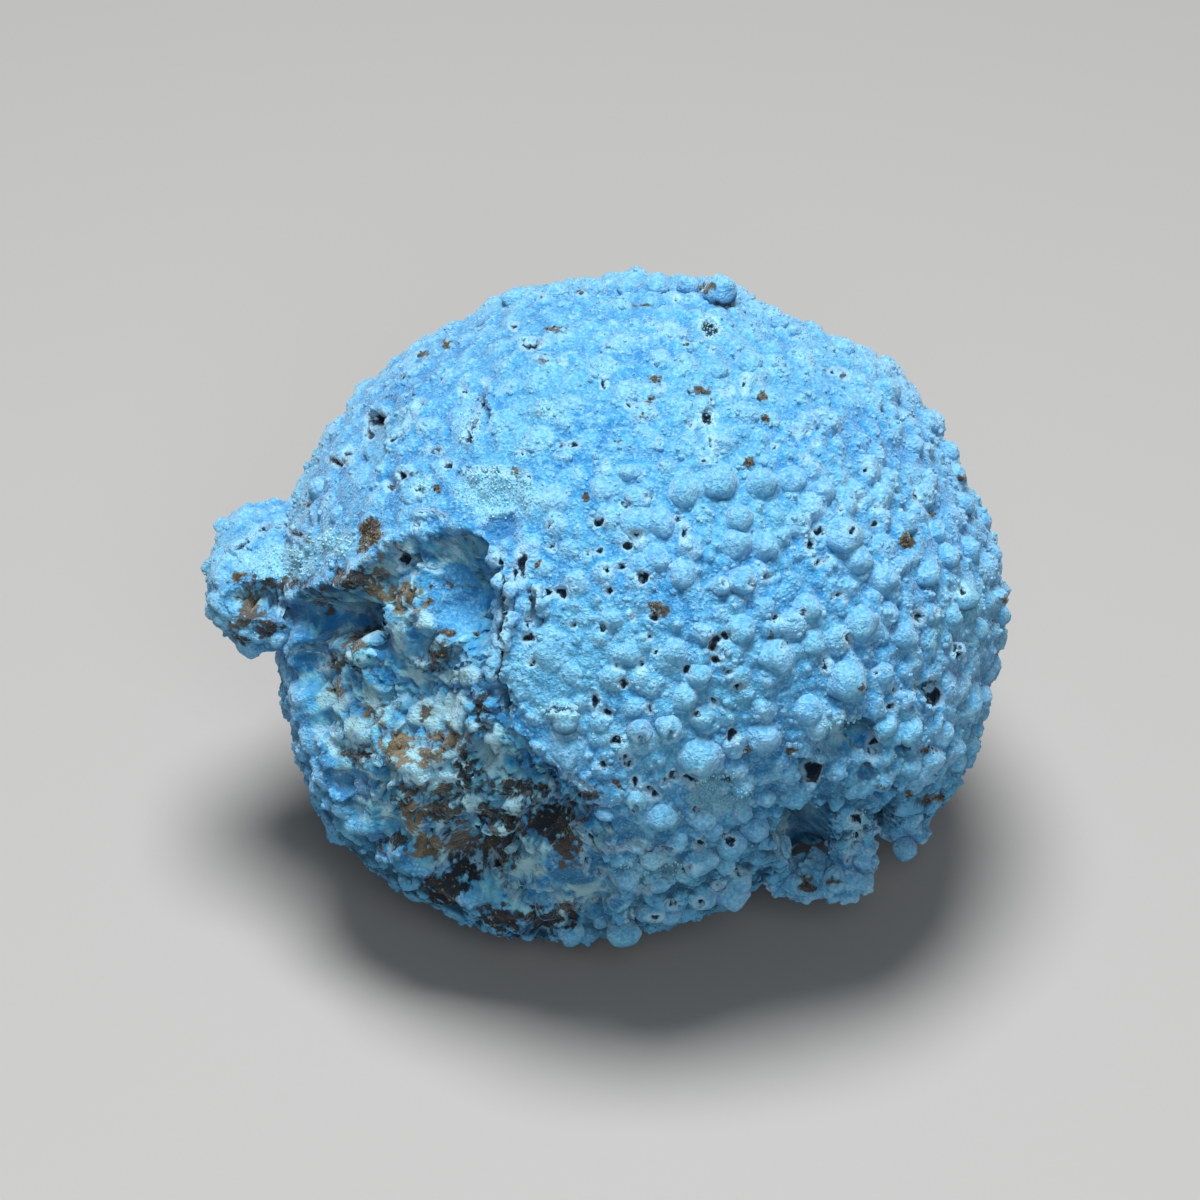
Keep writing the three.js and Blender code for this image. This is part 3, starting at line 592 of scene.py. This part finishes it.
def grown(p, faces, lumps, gone, hollow, share, shape):
    """A smooth form with its relief raised along its normals, and the numbers that its colours follow."""
    out = unit(normals_of(p, faces))
    unseen = 2 * ease(0.22, 0.0, out[:, 2])
    flat = pixel_of(p, shape.view_distance) + stray(p, 0.6)
    smooth = ease(0.1, -0.3, ellipses(flat, SMOOTH) + unseen)
    plate = ease(0.06, -0.06, ellipses(flat, PLATES) + unseen) * ease(0.5, 0.9, gone)
    rough = np.clip(gone + 0.8 * ease(0.3, 1.2, hollow), 0, 1) * (1 - 0.85 * smooth)
    stone, gap, block = broken_relief(p)
    relief = rough * stone * (1 - 0.8 * plate) + 0.12 * plate

    # Crust: lumps with uneven edges, then granules of two sizes and a slow roll.
    uneven = bent(p, 0.1, 0.7)
    height, foot = lump_height(uneven, lumps)
    for size, rise in CRUST_BUMPS:
        near, _, _, number = cells(uneven + 3 * size, size)
        dome = np.clip(1 - (near / (0.62 * size)) ** 2, 0, None)
        height = height + rise * (0.4 + 0.6 * chance(number)) * dome
    high = 1 - FLATTER_LEFT * ease(*LEFT_PART, flat[:, 0]) * ease(*ABOVE_PART, flat[:, 1]) * (1 - unseen / 2)
    high += ROUGHER_LOW * ease(*LOWER_PART, flat[:, 1]) * ease(500, 620, flat[:, 0]) * (1 - unseen / 2)
    roll = sum(amount * clouds(p, size) for size, amount in CRUST_ROLL)
    relief += share * (height * high + roll - CRUST_SUNK)

    # Marks, with strewn pits and specks where the viewer doesn't see.
    at = pixel_of(p + out * relief[:, None], shape.view_distance) + stray(p, 0.22)
    crack = cracks(at) + unseen
    pit = np.minimum(np.minimum(ellipses(at, PITS), ellipses(at, CRATERS)) + unseen, crack)
    speck = ellipses(at, SPECKS) + unseen
    near, _, _, number = cells(uneven + 50, 2.2)
    pit = np.minimum(pit, near - 0.3 * chance(number + 41) ** 2 + 2 - unseen)
    near, _, _, number = cells(uneven + 90, 4.2)
    speck = np.minimum(speck, near - 0.1 - 0.4 * chance(number + 43) ** 2 + 2 - unseen)
    deep = ellipses(at, DEEPS) + unseen
    relief -= PIT_DEPTH * ease(0.05, -0.1, pit) + DEEP_DEPTH * ease(0.1, -0.15, deep)
    relief += CRACK_LIP * ease(0.5, 0.15, crack) * ease(0.0, 0.1, crack)
    numbers = {
        "crest": share * height / 0.42 + 0.45 * (1 - share) * (1 - rough),
        "foot": 0.3 * share * foot,
        "pit": pit,
        "speck": speck,
        "stain": ellipses(at, STAINS) + unseen,
        "dark": darkness(at),
        "frost": ellipses(at, FROST) + unseen,
        "deep": deep,
        "plate": plate,
        "rough": rough,
        "gap": 0.55 * rough * gap * (1 - plate),
        "hollow": hollow,
        "block": block,
        # How much the surface faces the ground, which sets the painted shade underneath.
        "under": ease(-0.2, 0.7, down(out, shape)) * (1 - 0.8 * rough),
    }
    return p + out * relief[:, None], numbers


def body_surface(v, faces, shape):
    """The body: its radius less the broken face's large blocks and the hollows, then its relief."""
    radius = body_radius(v, shape.depth)
    p = v * radius[:, None]
    gone = broken(p, shape)
    hollow = hollow_depth(p, shape)
    share = crust_share(v, p, shape)
    _, _, _, large = cells(p, BLOCK_SIZE)
    depth = gone * (BROKEN_DEPTH + 0.5 * BLOCK_STEP * (2 * chance(large + 5) - 1)) + hollow
    return grown(v * (radius - depth)[:, None], faces, body_lumps(shape), gone, hollow, share, shape)


def rounded_box(v, half):
    """Points of a superellipsoid in these directions: the powers of their shares of its sizes sum to 1."""
    return v * ((np.abs(v / half) ** LOBE_SQUARENESS).sum(1) ** (-1 / LOBE_SQUARENESS))[:, None]


def lobe_surface(v, faces, at, half, shape):
    """A lobe: a rounded box, hollowed where the viewer sees into it, then its relief."""
    p = in_view(rounded_box(v, half) + at, shape)
    own = strewn(max(40, int(25 * half[0] * half[1])), 1.5)
    own = in_view(rounded_box(own, half) + at, shape)
    lumps = scattered(NO_LUMP, own, np.ones(len(own)), LOBE_LUMPS)
    out = unit(normals_of(p, faces))
    pixels = pixel_of(p, shape.view_distance)
    hollow = np.zeros(len(p))
    for *place, depth in LOBE_HOLLOWS:
        hollow += depth * ease(1.1, 0.6, across(pixels, *place)) * ease(0.0, 0.3, out[:, 2])
    gone, share = ease(0.4, 1.2, hollow), ease(1.0, 0.3, hollow)
    return grown(p - out * hollow[:, None], faces, lumps, gone, hollow, share, shape)


def grain_shape(around):
    """A closed grain: two rings of points between two poles, the lower one turned by half a step."""
    turn = np.arange(around) * 2 * math.pi / around
    high = 1 / math.sqrt(5)
    wide = 2 / math.sqrt(5)
    upper = np.column_stack([wide * np.cos(turn), wide * np.sin(turn), np.full(around, high)])
    turn = turn + math.pi / around
    lower = np.column_stack([wide * np.cos(turn), wide * np.sin(turn), np.full(around, -high)])
    points = np.concatenate([[[0, 0, 1]], upper, lower, [[0, 0, -1]]])
    i = np.arange(around)
    a, b = 1 + i, 1 + (i + 1) % around
    c, d = a + around, b + around
    top, end = np.zeros(around, int), np.full(around, 2 * around + 1)
    rings = ((top, a, b), (a, c, b), (b, c, d), (end, d, c))
    return points, np.concatenate([np.column_stack(ring) for ring in rings])


def any_way(number):
    """A way for each number that looks random, as long as the half of a cube's side at most on each axis."""
    return np.column_stack([chance(number + a) - 0.5 for a in (1, 2, 3)])


def grains(at, out, size, around, uneven):
    """Grains strewn on a surface: each is turned at random about its normal, scaled and made uneven."""
    points, faces = grain_shape(around)
    i = np.arange(len(at))
    side = unit(np.cross(out, any_way(i * 1.3)))
    axes = (side, np.cross(out, side), out)
    number = i[:, None] * len(points) + np.arange(len(points))
    reach = size[:, None, :] * points * (1 + uneven * (chance(number * 0.731)[:, :, None] - 0.5))
    placed = at[:, None] + sum(reach[:, :, k : k + 1] * axis[:, None] for k, axis in enumerate(axes))
    all_faces = faces + (i * len(points))[:, None, None]
    return placed.reshape(-1, 3), all_faces.reshape(-1, 3), np.tile(points[:, 2], len(at))


def chosen(p, faces, density, seed):
    """Points of a surface, as many to the square millimetre as density says at each, and their normals."""
    out = normals_of(p, faces)
    area = np.linalg.norm(out, axis=1) / 8
    clear = p[:, 2] > 0.3
    pick = np.nonzero((chance(np.arange(len(p)) * 0.917 + seed) < density * area) & clear)[0]
    return pick, unit(out[pick])


def each_grain(numbers, pick):
    """The numbers of these points, for all points of the grain on each."""
    return {key: np.repeat(value[pick], GRAIN_POINTS) for key, value in numbers.items()}


def seen_at(pixels, shape):
    """The point of the surface that the viewer sees nearest to each pixel, and the way out of it."""
    found = [surface_of(name) for name in ("nodule_crust", *LOBES)]
    out = np.concatenate([unit(normals_of(p, faces)) for p, faces, _ in found])
    p = in_view(np.concatenate([p for p, _, _ in found]) - MIDDLE, shape)
    at = pixel_of(p, shape.view_distance)
    pick = [np.argmax(p[:, 2] - 3 * np.maximum(0, np.hypot(*(at - pixel).T) - 4)) for pixel in pixels]
    return p[pick], in_view(out[pick], shape)


def linear(code):
    """An sRGB hex colour as linear red, green and blue."""
    c = np.array([int(code[i : i + 2], 16) for i in (1, 3, 5)]) / 255
    return tuple(np.where(c <= 0.04045, c / 12.92, ((c + 0.055) / 1.055) ** 2.4))


def add(tree, kind, inputs=None, **settings):
    """Adds a node with its settings. Each input is a value, a colour, or a socket of another node to link."""
    node = tree.nodes.new(kind)
    for key, value in settings.items():
        setattr(node, key, value)
    for key, value in (inputs or {}).items():
        if isinstance(value, bpy.types.NodeSocket):
            tree.links.new(value, node.inputs[key])
        elif node.inputs[key].type == "RGBA":
            node.inputs[key].default_value = (*value, 1)
        else:
            node.inputs[key].default_value = value
    return node


# The inputs of a smooth step, in the order in which they are given below.
STEP_INPUTS = ("Value", "From Min", "From Max", "To Min", "To Max")


def lay(tree, under, over, number, ends, shares=(0.0, 1.0), ragged=None, times=None):
    """Lays one colour over another: a smooth step of a number gives its share.

    ragged is a socket and how much of it is added to the number, and times is a socket that the share is
    multiplied by.
    """
    if ragged:
        inputs = {0: ragged[0], 1: ragged[1], 2: number}
        number = add(tree, "ShaderNodeMath", inputs, operation="MULTIPLY_ADD").outputs[0]
    inputs = dict(zip(STEP_INPUTS, (number, *ends, *shares)))
    share = add(tree, "ShaderNodeMapRange", inputs, interpolation_type="SMOOTHSTEP").outputs["Result"]
    if times is not None:
        share = add(tree, "ShaderNodeMath", {0: share, 1: times}, operation="MULTIPLY").outputs[0]
    return add(tree, "ShaderNodeMix", {0: share, 6: under, 7: over}, data_type="RGBA").outputs[2]


def start_material(name, sizes):
    """A material with only the place on the piece in millimetres, and noise of each size, with its detail."""
    material = bpy.data.materials.new(name)
    material.use_nodes = True
    tree = material.node_tree
    tree.nodes.clear()
    place = add(tree, "ShaderNodeTexCoord").outputs["Object"]
    where = add(tree, "ShaderNodeMapping", {"Vector": place, "Scale": (1 / MM,) * 3}).outputs["Vector"]
    noises = []
    for size, detail in sizes:
        inputs = {"Vector": where, "Scale": 0.5 / size, "Detail": detail, "Roughness": 0.55}
        noises.append(add(tree, "ShaderNodeTexNoise", inputs).outputs["Fac"])
    return material, tree, where, noises


def finish_material(tree, height, strength, distance, inputs):
    """Ends a material with its surface, raised by a height in metres."""
    bump = add(tree, "ShaderNodeBump", {"Height": height, "Strength": strength, "Distance": distance})
    shader = add(tree, "ShaderNodeBsdfPrincipled", {"Normal": bump.outputs["Normal"], **inputs})
    add(tree, "ShaderNodeOutputMaterial", {"Surface": shader.outputs["BSDF"]})


# The numbers kept at each point, which the colours of the crust follow.
NUMBERS = (
    "crest", "foot", "pit", "speck", "stain", "dark", "frost",
    "deep", "plate", "rough", "gap", "hollow", "block", "under",
)


def shattuckite_crust(look):
    """Shattuckite grown as a felt of very fine needles: velvety and matt, with a painted highlight on the
    crests and painted shade between them.
    """
    sizes = ((0.07, 3), (0.3, 4), (3.0, 3))
    material, tree, where, (fine, middling, broad) = start_material("shattuckite_crust", sizes)
    crest, foot, pit, speck, stain, dark, frost, deep, plate, rough, gap, hollow, block, under = (
        add(tree, "ShaderNodeAttribute", attribute_name=name).outputs["Fac"] for name in NUMBERS
    )
    uneven = add(tree, "ShaderNodeMath", {0: middling, 1: 0.5}, operation="SUBTRACT").outputs[0]

    # The crust: its blue varies with noise, with a painted highlight on the crests, painted shade in the
    # creases, and painted sheen as a pale ring at the base of each large lump.
    lit = add(tree, "ShaderNodeMath", {0: uneven, 1: 0.8, 2: crest}, operation="MULTIPLY_ADD").outputs[0]
    colour = lay(tree, look.crease, look.crust, lit, (-0.05, 0.75))
    colour = lay(tree, colour, look.crest, lit, (0.5, 1.3), (0, 0.5))
    colour = lay(tree, colour, look.teal, broad, (0.44, 0.62), (0, 0.45))
    # A pale ring at the base of each large lump: painted sheen.
    colour = add(tree, "ShaderNodeMix", {0: foot, 6: colour, 7: look.crest}, data_type="RGBA").outputs[2]
    colour = lay(tree, colour, look.crest, fine, (0.5, 0.68), (0, 0.45))
    colour = lay(tree, colour, look.crease, fine, (0.48, 0.32), (0, 0.3))

    # Tufts of needles.
    tuft = add(tree, "ShaderNodeTexVoronoi", {"Vector": where, "Scale": 1 / TUFT}).outputs["Distance"]
    colour = lay(tree, colour, look.crest, tuft, (0.4, 0.1), (0, 0.25))
    colour = lay(tree, colour, look.crease, tuft, (0.45, 0.75), (0, 0.35))

    # Pale granular patches.
    granular = lay(tree, look.teal, look.frost, fine, (0.38, 0.6))
    colour = lay(tree, colour, granular, frost, (0.3, -0.3), (0, 0.6), (uneven, 1.6))

    # The broken face: each block has its own blue, and the plates are pale.
    tone = add(tree, "ShaderNodeMath", {0: block, 1: 0.5, 2: 0.3}, operation="MULTIPLY_ADD").outputs[0]
    tone = add(tree, "ShaderNodeMath", {0: uneven, 1: 1.6, 2: tone}, operation="MULTIPLY_ADD").outputs[0]
    ramp = add(tree, "ShaderNodeValToRGB", {"Fac": tone})
    stops = ((0.0, look.blue), (0.2, look.crease), (0.4, look.crust), (0.6, look.teal), (0.9, look.frost))
    for position, _ in stops[1:-1]:
        ramp.color_ramp.elements.new(position)
    for element, (position, value) in zip(ramp.color_ramp.elements, stops):
        element.position = position
        element.color = (*value, 1)
    face = lay(tree, ramp.outputs["Color"], look.crease, broad, (0.52, 0.64), (0, 0.35))
    face = lay(tree, face, look.plate, middling, (0.36, 0.5), (0.35, 0.95), times=plate)
    colour = lay(tree, colour, face, rough, (0.2, 0.5))

    # Painted shade: deep blue in pockets (partly the stone's own deeper blue), in the gaps between blocks and
    # in deep hollows, and towards the ground between the crests. Underneath, the crests' painted highlight
    # turns back to the crust's blue.
    colour = lay(tree, colour, look.blue, deep, (0.15, -0.15), (0, 0.7), (uneven, 2.0))
    colour = add(tree, "ShaderNodeMix", {0: gap, 6: colour, 7: look.blue}, data_type="RGBA").outputs[2]
    colour = lay(tree, colour, look.deep, hollow, (2.6, 4.4), (0, 0.7))
    # Painted shade underneath: darker towards the ground between the crests, and the crests there take the
    # crust's blue.
    colour = lay(tree, colour, look.deep, crest, (0.9, 0.25), (0.2, 1.0), times=under)
    colour = lay(tree, colour, look.crust, lit, (0.6, 1.3), (0, 0.7), times=under)

    # Brown earthy specks and stains, and dark pits with pale lips: the pits' dark is painted shade.
    earth = lay(tree, look.earth, look.tan, middling, (0.42, 0.6), (0, 0.6))
    earth = lay(tree, earth, look.earth_dark, speck, (-0.1, -0.4), ragged=(uneven, 1.0))
    colour = lay(tree, colour, earth, speck, (0.04, -0.1), (0, 0.95), (uneven, 1.0))
    soil = lay(tree, look.tan, look.earth, dark, (0.0, 0.45), ragged=(uneven, 1.5))
    soil = lay(tree, soil, look.earth_dark, dark, (0.4, 0.9), ragged=(uneven, 1.5))
    colour = lay(tree, colour, soil, stain, (0.26, -0.1), (0, 0.94), (uneven, 2.8))
    colour = lay(tree, colour, look.crest, pit, (0.24, 0.08), (0, 0.6))
    colour = lay(tree, colour, look.pit, pit, (0.03, -0.06), ragged=(uneven, 0.5))

    # Needles too fine to draw: a felt of 0.07 mm over tufts. The velvet's sheen is lost underneath.
    felt = add(tree, "ShaderNodeMath", {0: tuft, 1: -0.2, 2: fine}, operation="MULTIPLY_ADD").outputs[0]
    inputs = dict(zip(STEP_INPUTS, (under, 0.0, 0.6, 0.45, 0.05)))
    sheen = add(tree, "ShaderNodeMapRange", inputs, interpolation_type="SMOOTHSTEP").outputs["Result"]
    inputs = {
        "Base Color": colour,
        "Roughness": 0.9,
        "Specular IOR Level": 0.12,
        "Sheen Weight": sheen,
        "Sheen Roughness": 0.4,
        "Sheen Tint": (0.85, 0.95, 1),
    }
    finish_material(tree, felt, 0.85, 0.0002, inputs)
    return material


def grainy(name, dark, pale, roughness):
    """A powdery or sugary surface that varies from grain to grain between two colours."""
    material, tree, _, (tint, height) = start_material(name, ((0.1, 2), (0.05, 2)))
    inputs = {"Base Color": lay(tree, dark, pale, tint, (0.38, 0.62)), "Roughness": roughness}
    finish_material(tree, height, 0.6, 0.0001, inputs)
    return material


def hex_colour(name, description, code):
    return FloatVectorProperty(
        name=name, description=description, subtype="COLOR", default=linear(code), min=0, max=1
    )


class NoduleShape(bpy.types.PropertyGroup):
    view_tilt: FloatProperty(
        name="View tilt",
        description="Height of the viewer above the horizon",
        subtype="ANGLE",
        default=math.radians(38),
    )
    view_distance: FloatProperty(
        name="View distance", description="From the viewer to the middle, in mm", default=262
    )
    depth: FloatProperty(
        name="Depth", description="Radius of the body towards the viewer, in mm", default=17.7
    )
    mound: FloatProperty(
        name="Mound", description="Height of the crust under a large lump, over its radius", default=0.3
    )
    lump_rise: FloatProperty(
        name="Lump rise",
        description="How far a large lump's middle is above its mound, over its radius",
        default=-0.38,
    )
    grid: IntProperty(
        name="Grid", description="Steps along each side of the surface's grid", default=128, min=16
    )
    nearer: FloatProperty(
        name="Nearer", description="How much closer the grid is drawn on the side that is seen", default=1.6
    )
    granules: FloatProperty(
        name="Granules", description="Granules to each square millimetre", default=4.2, min=0
    )


class NoduleLook(bpy.types.PropertyGroup):
    crust: hex_colour("Crust", "Blue of the crust", "#4dabe0")
    # crest is the colour of the painted highlight on the crests; crease is the crust's deeper blue, also laid
    # as painted shade in the creases.
    crest: hex_colour("Crest", "Pale velvet on the tops of the lumps", "#a8d8f0")
    crease: hex_colour("Crease", "Deeper blue between the lumps", "#2882c0")
    teal: hex_colour("Teal", "Greener tint of the crust", "#6cbdd6")
    frost: hex_colour("Frost", "Pale granular patches", "#a9dced")
    plate: hex_colour("Plate", "Palest plates of the broken face", "#9accdc")
    # blue is painted shade in pockets and gaps, and the darkest tone of the broken blocks; deep is painted
    # shade in hollows and underneath.
    blue: hex_colour("Blue", "Pockets of pure blue", "#1f70ac")
    deep: hex_colour("Deep", "Dark blue deep in the stone", "#16405c")
    tan: hex_colour("Tan", "Palest earth", "#80704c")
    earth: hex_colour("Earth", "Brown earthy grains", "#4b3d26")
    earth_dark: hex_colour("Dark earth", "Darkest brown", "#1d160f")
    # pit is painted shade inside the pits.
    pit: hex_colour("Pit", "Inside of the pits", "#10283a")


class NODULE_OT_crust(bpy.types.Operator):
    """Builds the nodule's surface"""

    bl_idname = "nodule.crust"
    bl_label = "Crust"

    def execute(self, context):
        shape, look = context.scene.nodule_shape, context.scene.nodule_look
        v, faces = sphere_grid(shape.grid, shape.nearer)
        p, numbers = body_surface(v, faces, shape)
        piece = new_piece("nodule_crust", standing(p, shape), faces, numbers, shattuckite_crust(look))
        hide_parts("nodule")
        return {"FINISHED"}


class NODULE_OT_lobes(bpy.types.Operator):
    """Builds the snout and the feet that stand out of the nodule"""

    bl_idname = "nodule.lobes"
    bl_label = "Lobes"

    def execute(self, context):
        shape = context.scene.nodule_shape
        material = bpy.data.materials["shattuckite_crust"]
        for name, (at, half) in LOBES.items():
            v, faces = sphere_grid(max(16, int(shape.grid * half[0] / 12)), 1.0)
            p, numbers = lobe_surface(v, faces, np.array(at), np.array(half), shape)
            # The lobes get less of the painted shade underneath.
            numbers["under"] *= LOBE_PAINTED_SHADE
            new_piece(name, standing(p, shape), faces, numbers, material)
        return {"FINISHED"}


class NODULE_OT_balls(bpy.types.Operator):
    """Sets the largest lumps on the crust, each a ball with its own uneven skin"""

    bl_idname = "nodule.balls"
    bl_label = "Balls"

    def execute(self, context):
        shape = context.scene.nodule_shape
        v, corners = sphere_grid(BALL_STEPS, 1.0)
        middle, out = seen_at(LUMPS[:, :2], shape)
        radius = BALL_SIZE[0] * LUMPS[:, 2] / PX_PER_MM + BALL_SIZE[1]
        flatter = FLATTER_LEFT * ease(*LEFT_PART, LUMPS[:, 0]) * ease(*ABOVE_PART, LUMPS[:, 1])
        rise = shape.lump_rise - flatter + 0.2 * (chance(radius * 9) - 0.5)
        for much, start, stop in PROUD:
            rise += much * ease(start, stop, LUMPS[:, 1])
        rise[LUMPS[:, 2] < BEAD] = 0
        middle = middle + out * (radius * rise)[:, None]
        p = bent((middle[:, None] + radius[:, None, None] * v).reshape(-1, 3), 0.12, 0.8)
        faces = (corners + len(v) * np.arange(len(middle))[:, None, None]).reshape(-1, 4)
        none = np.zeros(len(p))
        p, numbers = grown(p, faces, NO_LUMP, none, none, none + BALL_SKIN, shape)
        above = (v @ out.T).T.reshape(-1)
        # Each ball is paler on the side that faces out of the crust: a painted highlight.
        numbers["crest"] = 0.3 + 0.5 * above + 0.8 * numbers["crest"]
        # A pale ring round each ball where it meets the crust: painted sheen.
        numbers["foot"] = 0.3 * ease(0.55, 0.2, above)
        new_piece("balls", standing(p, shape), faces, numbers, bpy.data.materials["shattuckite_crust"])
        return {"FINISHED"}


class NODULE_OT_granules(bpy.types.Operator):
    """Strews the crust with its smallest round granules"""

    bl_idname = "nodule.granules"
    bl_label = "Granules"

    def execute(self, context):
        shape = context.scene.nodule_shape
        material = bpy.data.materials["shattuckite_crust"]
        for base in ("nodule_crust", *LOBES):
            p, faces, numbers = surface_of(base)
            clear = (numbers["rough"] < 0.3) & (numbers["hollow"] < 0.9) & (numbers["pit"] > 0.12)
            density = shape.granules * clear * (1 - 0.4 * ease(*SPARSER_LEFT, p[:, 0]))
            pick, out = chosen(p, faces, density, 3)
            parts = 1 + len(pick) // GRANULES_A_PIECE
            for part, (some, way) in enumerate(zip(np.array_split(pick, parts), np.array_split(out, parts))):
                radius = 0.08 + 0.15 * chance(some * 2.3) ** 2
                at = p[some] - 0.3 * radius[:, None] * way
                points, corners, top = grains(at, way, radius[:, None] * (1, 1, 0.9), 5, 0.25)
                own = each_grain(numbers, some)
                # Each granule is paler on top, a painted highlight, and darker underneath, painted shade.
                own["crest"] = own["crest"] + 0.2 + 0.5 * top - 0.6 * own["under"]
                new_piece(f"{base}_granules_{part + 1}", points * MM, corners, own, material)
        return {"FINISHED"}


class NODULE_OT_flakes(bpy.types.Operator):
    """Strews the broken face with angular flakes"""

    bl_idname = "nodule.flakes"
    bl_label = "Flakes"

    def execute(self, context):
        p, faces, numbers = surface_of("nodule_crust")
        density = 0.15 * (numbers["rough"] > 0.7) * (1 - numbers["plate"])
        pick, out = chosen(p, faces, density, 7)
        wide = 0.2 + 0.35 * chance(pick * 0.77) ** 1.5
        size = np.column_stack([wide, wide * (0.5 + 0.4 * chance(pick * 1.1)), 0.35 * wide])
        points, corners, _ = grains(p[pick], unit(out + 0.6 * any_way(pick * 1.9)), size, 5, 0.8)
        own = each_grain(numbers, pick)
        own["block"] = 0.75 * own["block"] + 0.25 * np.repeat(chance(pick * 3.7), GRAIN_POINTS)
        own["gap"] = own["gap"] * 0.3
        new_piece("flakes", points * MM, corners, own, bpy.data.materials["shattuckite_crust"], False)
        return {"FINISHED"}


class NODULE_OT_earth(bpy.types.Operator):
    """Strews brown earthy grains on the specks and the darkest stains"""

    bl_idname = "nodule.earth"
    bl_label = "Earth"

    def execute(self, context):
        look = context.scene.nodule_look
        material = grainy("limonite_earth", look.earth_dark, look.tan, 0.95)
        p, faces, numbers = surface_of("nodule_crust")
        stained = (numbers["stain"] < -0.15) & (numbers["dark"] > 0.6)
        pick, out = chosen(p, faces, 22 * (numbers["speck"] < -0.04) + 5 * stained, 11)
        size = (0.05 + 0.07 * chance(pick * 1.7))[:, None] * (1.0, 0.8, 0.7)
        points, corners, _ = grains(p[pick], out, size, 5, 0.8)
        new_piece("earth", points * MM, corners, {}, material, False)
        return {"FINISHED"}


class NODULE_OT_druse(bpy.types.Operator):
    """Strews tiny pale crystals on the granular patches"""

    bl_idname = "nodule.druse"
    bl_label = "Druse"

    def execute(self, context):
        look = context.scene.nodule_look
        material = grainy("shattuckite_druse", look.teal, look.frost, 0.5)
        for base in ("nodule_crust", "snout"):
            p, faces, numbers = surface_of(base)
            pick, out = chosen(p, faces, 16 * ease(0.15, -0.3, numbers["frost"]), 13)
            size = (0.04 + 0.05 * chance(pick * 1.3))[:, None] * (0.8, 0.8, 1.5)
            points, corners, _ = grains(p[pick], unit(out + 0.8 * any_way(pick * 2.9)), size, 3, 0.2)
            new_piece(f"{base}_druse", points * MM, corners, {}, material, False)
        return {"FINISHED"}


class NODULE_OT_studio(bpy.types.Operator):
    """Builds the floor, the lights and the camera"""

    bl_idname = "nodule.studio"
    bl_label = "Studio"

    def execute(self, context):
        shape = context.scene.nodule_shape
        mesh = bpy.data.meshes.new("floor")
        mesh.from_pydata([(-2, -2, 0), (2, -2, 0), (2, 2, 0), (-2, 2, 0)], [], [(0, 1, 2, 3)])
        material = bpy.data.materials.new("pale_floor")
        material.use_nodes = True
        shader = material.node_tree.nodes["Principled BSDF"]
        shader.inputs["Base Color"].default_value = (*linear(FLOOR_GREY), 1)
        shader.inputs["Roughness"].default_value = 0.8
        mesh.materials.append(material)
        floor = bpy.data.objects.new("floor", mesh)
        context.collection.objects.link(floor)

        world = bpy.data.worlds.new("studio")
        world.use_nodes = True
        sky = world.node_tree.nodes["Background"]
        sky.inputs["Color"].default_value = DAYLIGHT
        sky.inputs["Strength"].default_value = 0.1
        context.scene.world = world
        aim = Vector(MIDDLE) * MM
        for name, place, size, power in LIGHTS:
            light = bpy.data.lights.new(name, "AREA")
            light.shape, light.size, light.energy = "DISK", size, power
            lamp = bpy.data.objects.new(name, light)
            lamp.location = place
            lamp.rotation_euler = (aim - lamp.location).to_track_quat("-Z", "Y").to_euler()
            context.collection.objects.link(lamp)

        centre = (PHOTO_WIDTH / 2 - MIDDLE_PX) * np.array([1, -1]) / PX_PER_MM
        ends = np.array([[*centre, 0], [0, 0, shape.view_distance]])
        looked_at, eye = (Vector(end) for end in standing(ends, shape))
        camera = bpy.data.objects.new("camera", bpy.data.cameras.new("camera"))
        camera.location = eye
        camera.rotation_euler = (looked_at - eye).to_track_quat("-Z", "Y").to_euler()
        camera.data.sensor_width = 36
        camera.data.lens = 36 * shape.view_distance * PX_PER_MM / PHOTO_WIDTH
        camera.data.clip_start, camera.data.clip_end = 0.01, 10
        context.collection.objects.link(camera)
        context.scene.camera = camera
        context.scene.view_settings.view_transform = "Standard"
        return {"FINISHED"}


OPERATORS = (
    NODULE_OT_crust,
    NODULE_OT_lobes,
    NODULE_OT_balls,
    NODULE_OT_granules,
    NODULE_OT_flakes,
    NODULE_OT_earth,
    NODULE_OT_druse,
    NODULE_OT_studio,
)


class NODULE_PT_panel(bpy.types.Panel):
    """Shows the nodule's settings and the buttons that build its pieces"""

    bl_label = "Nodule"
    bl_idname = "NODULE_PT_panel"
    bl_space_type = "VIEW_3D"
    bl_region_type = "UI"
    bl_category = "Nodule"

    def draw(self, context):
        for settings in (context.scene.nodule_shape, context.scene.nodule_look):
            for name in settings.__annotations__:
                self.layout.prop(settings, name)
        for operator in OPERATORS:
            self.layout.operator(operator.bl_idname)


CLASSES = (NoduleShape, NoduleLook, *OPERATORS, NODULE_PT_panel)


def register():
    for cls in CLASSES:
        bpy.utils.register_class(cls)
    bpy.types.Scene.nodule_shape = PointerProperty(type=NoduleShape)
    bpy.types.Scene.nodule_look = PointerProperty(type=NoduleLook)


def unregister():
    del bpy.types.Scene.nodule_look
    del bpy.types.Scene.nodule_shape
    for cls in reversed(CLASSES):
        bpy.utils.unregister_class(cls)


def main():
    register()
    bpy.ops.nodule.crust()
    bpy.ops.nodule.lobes()
    bpy.ops.nodule.balls()
    bpy.ops.nodule.granules()
    bpy.ops.nodule.flakes()
    bpy.ops.nodule.earth()
    bpy.ops.nodule.druse()
    bpy.ops.nodule.studio()


if __name__ == "__main__":
    main()
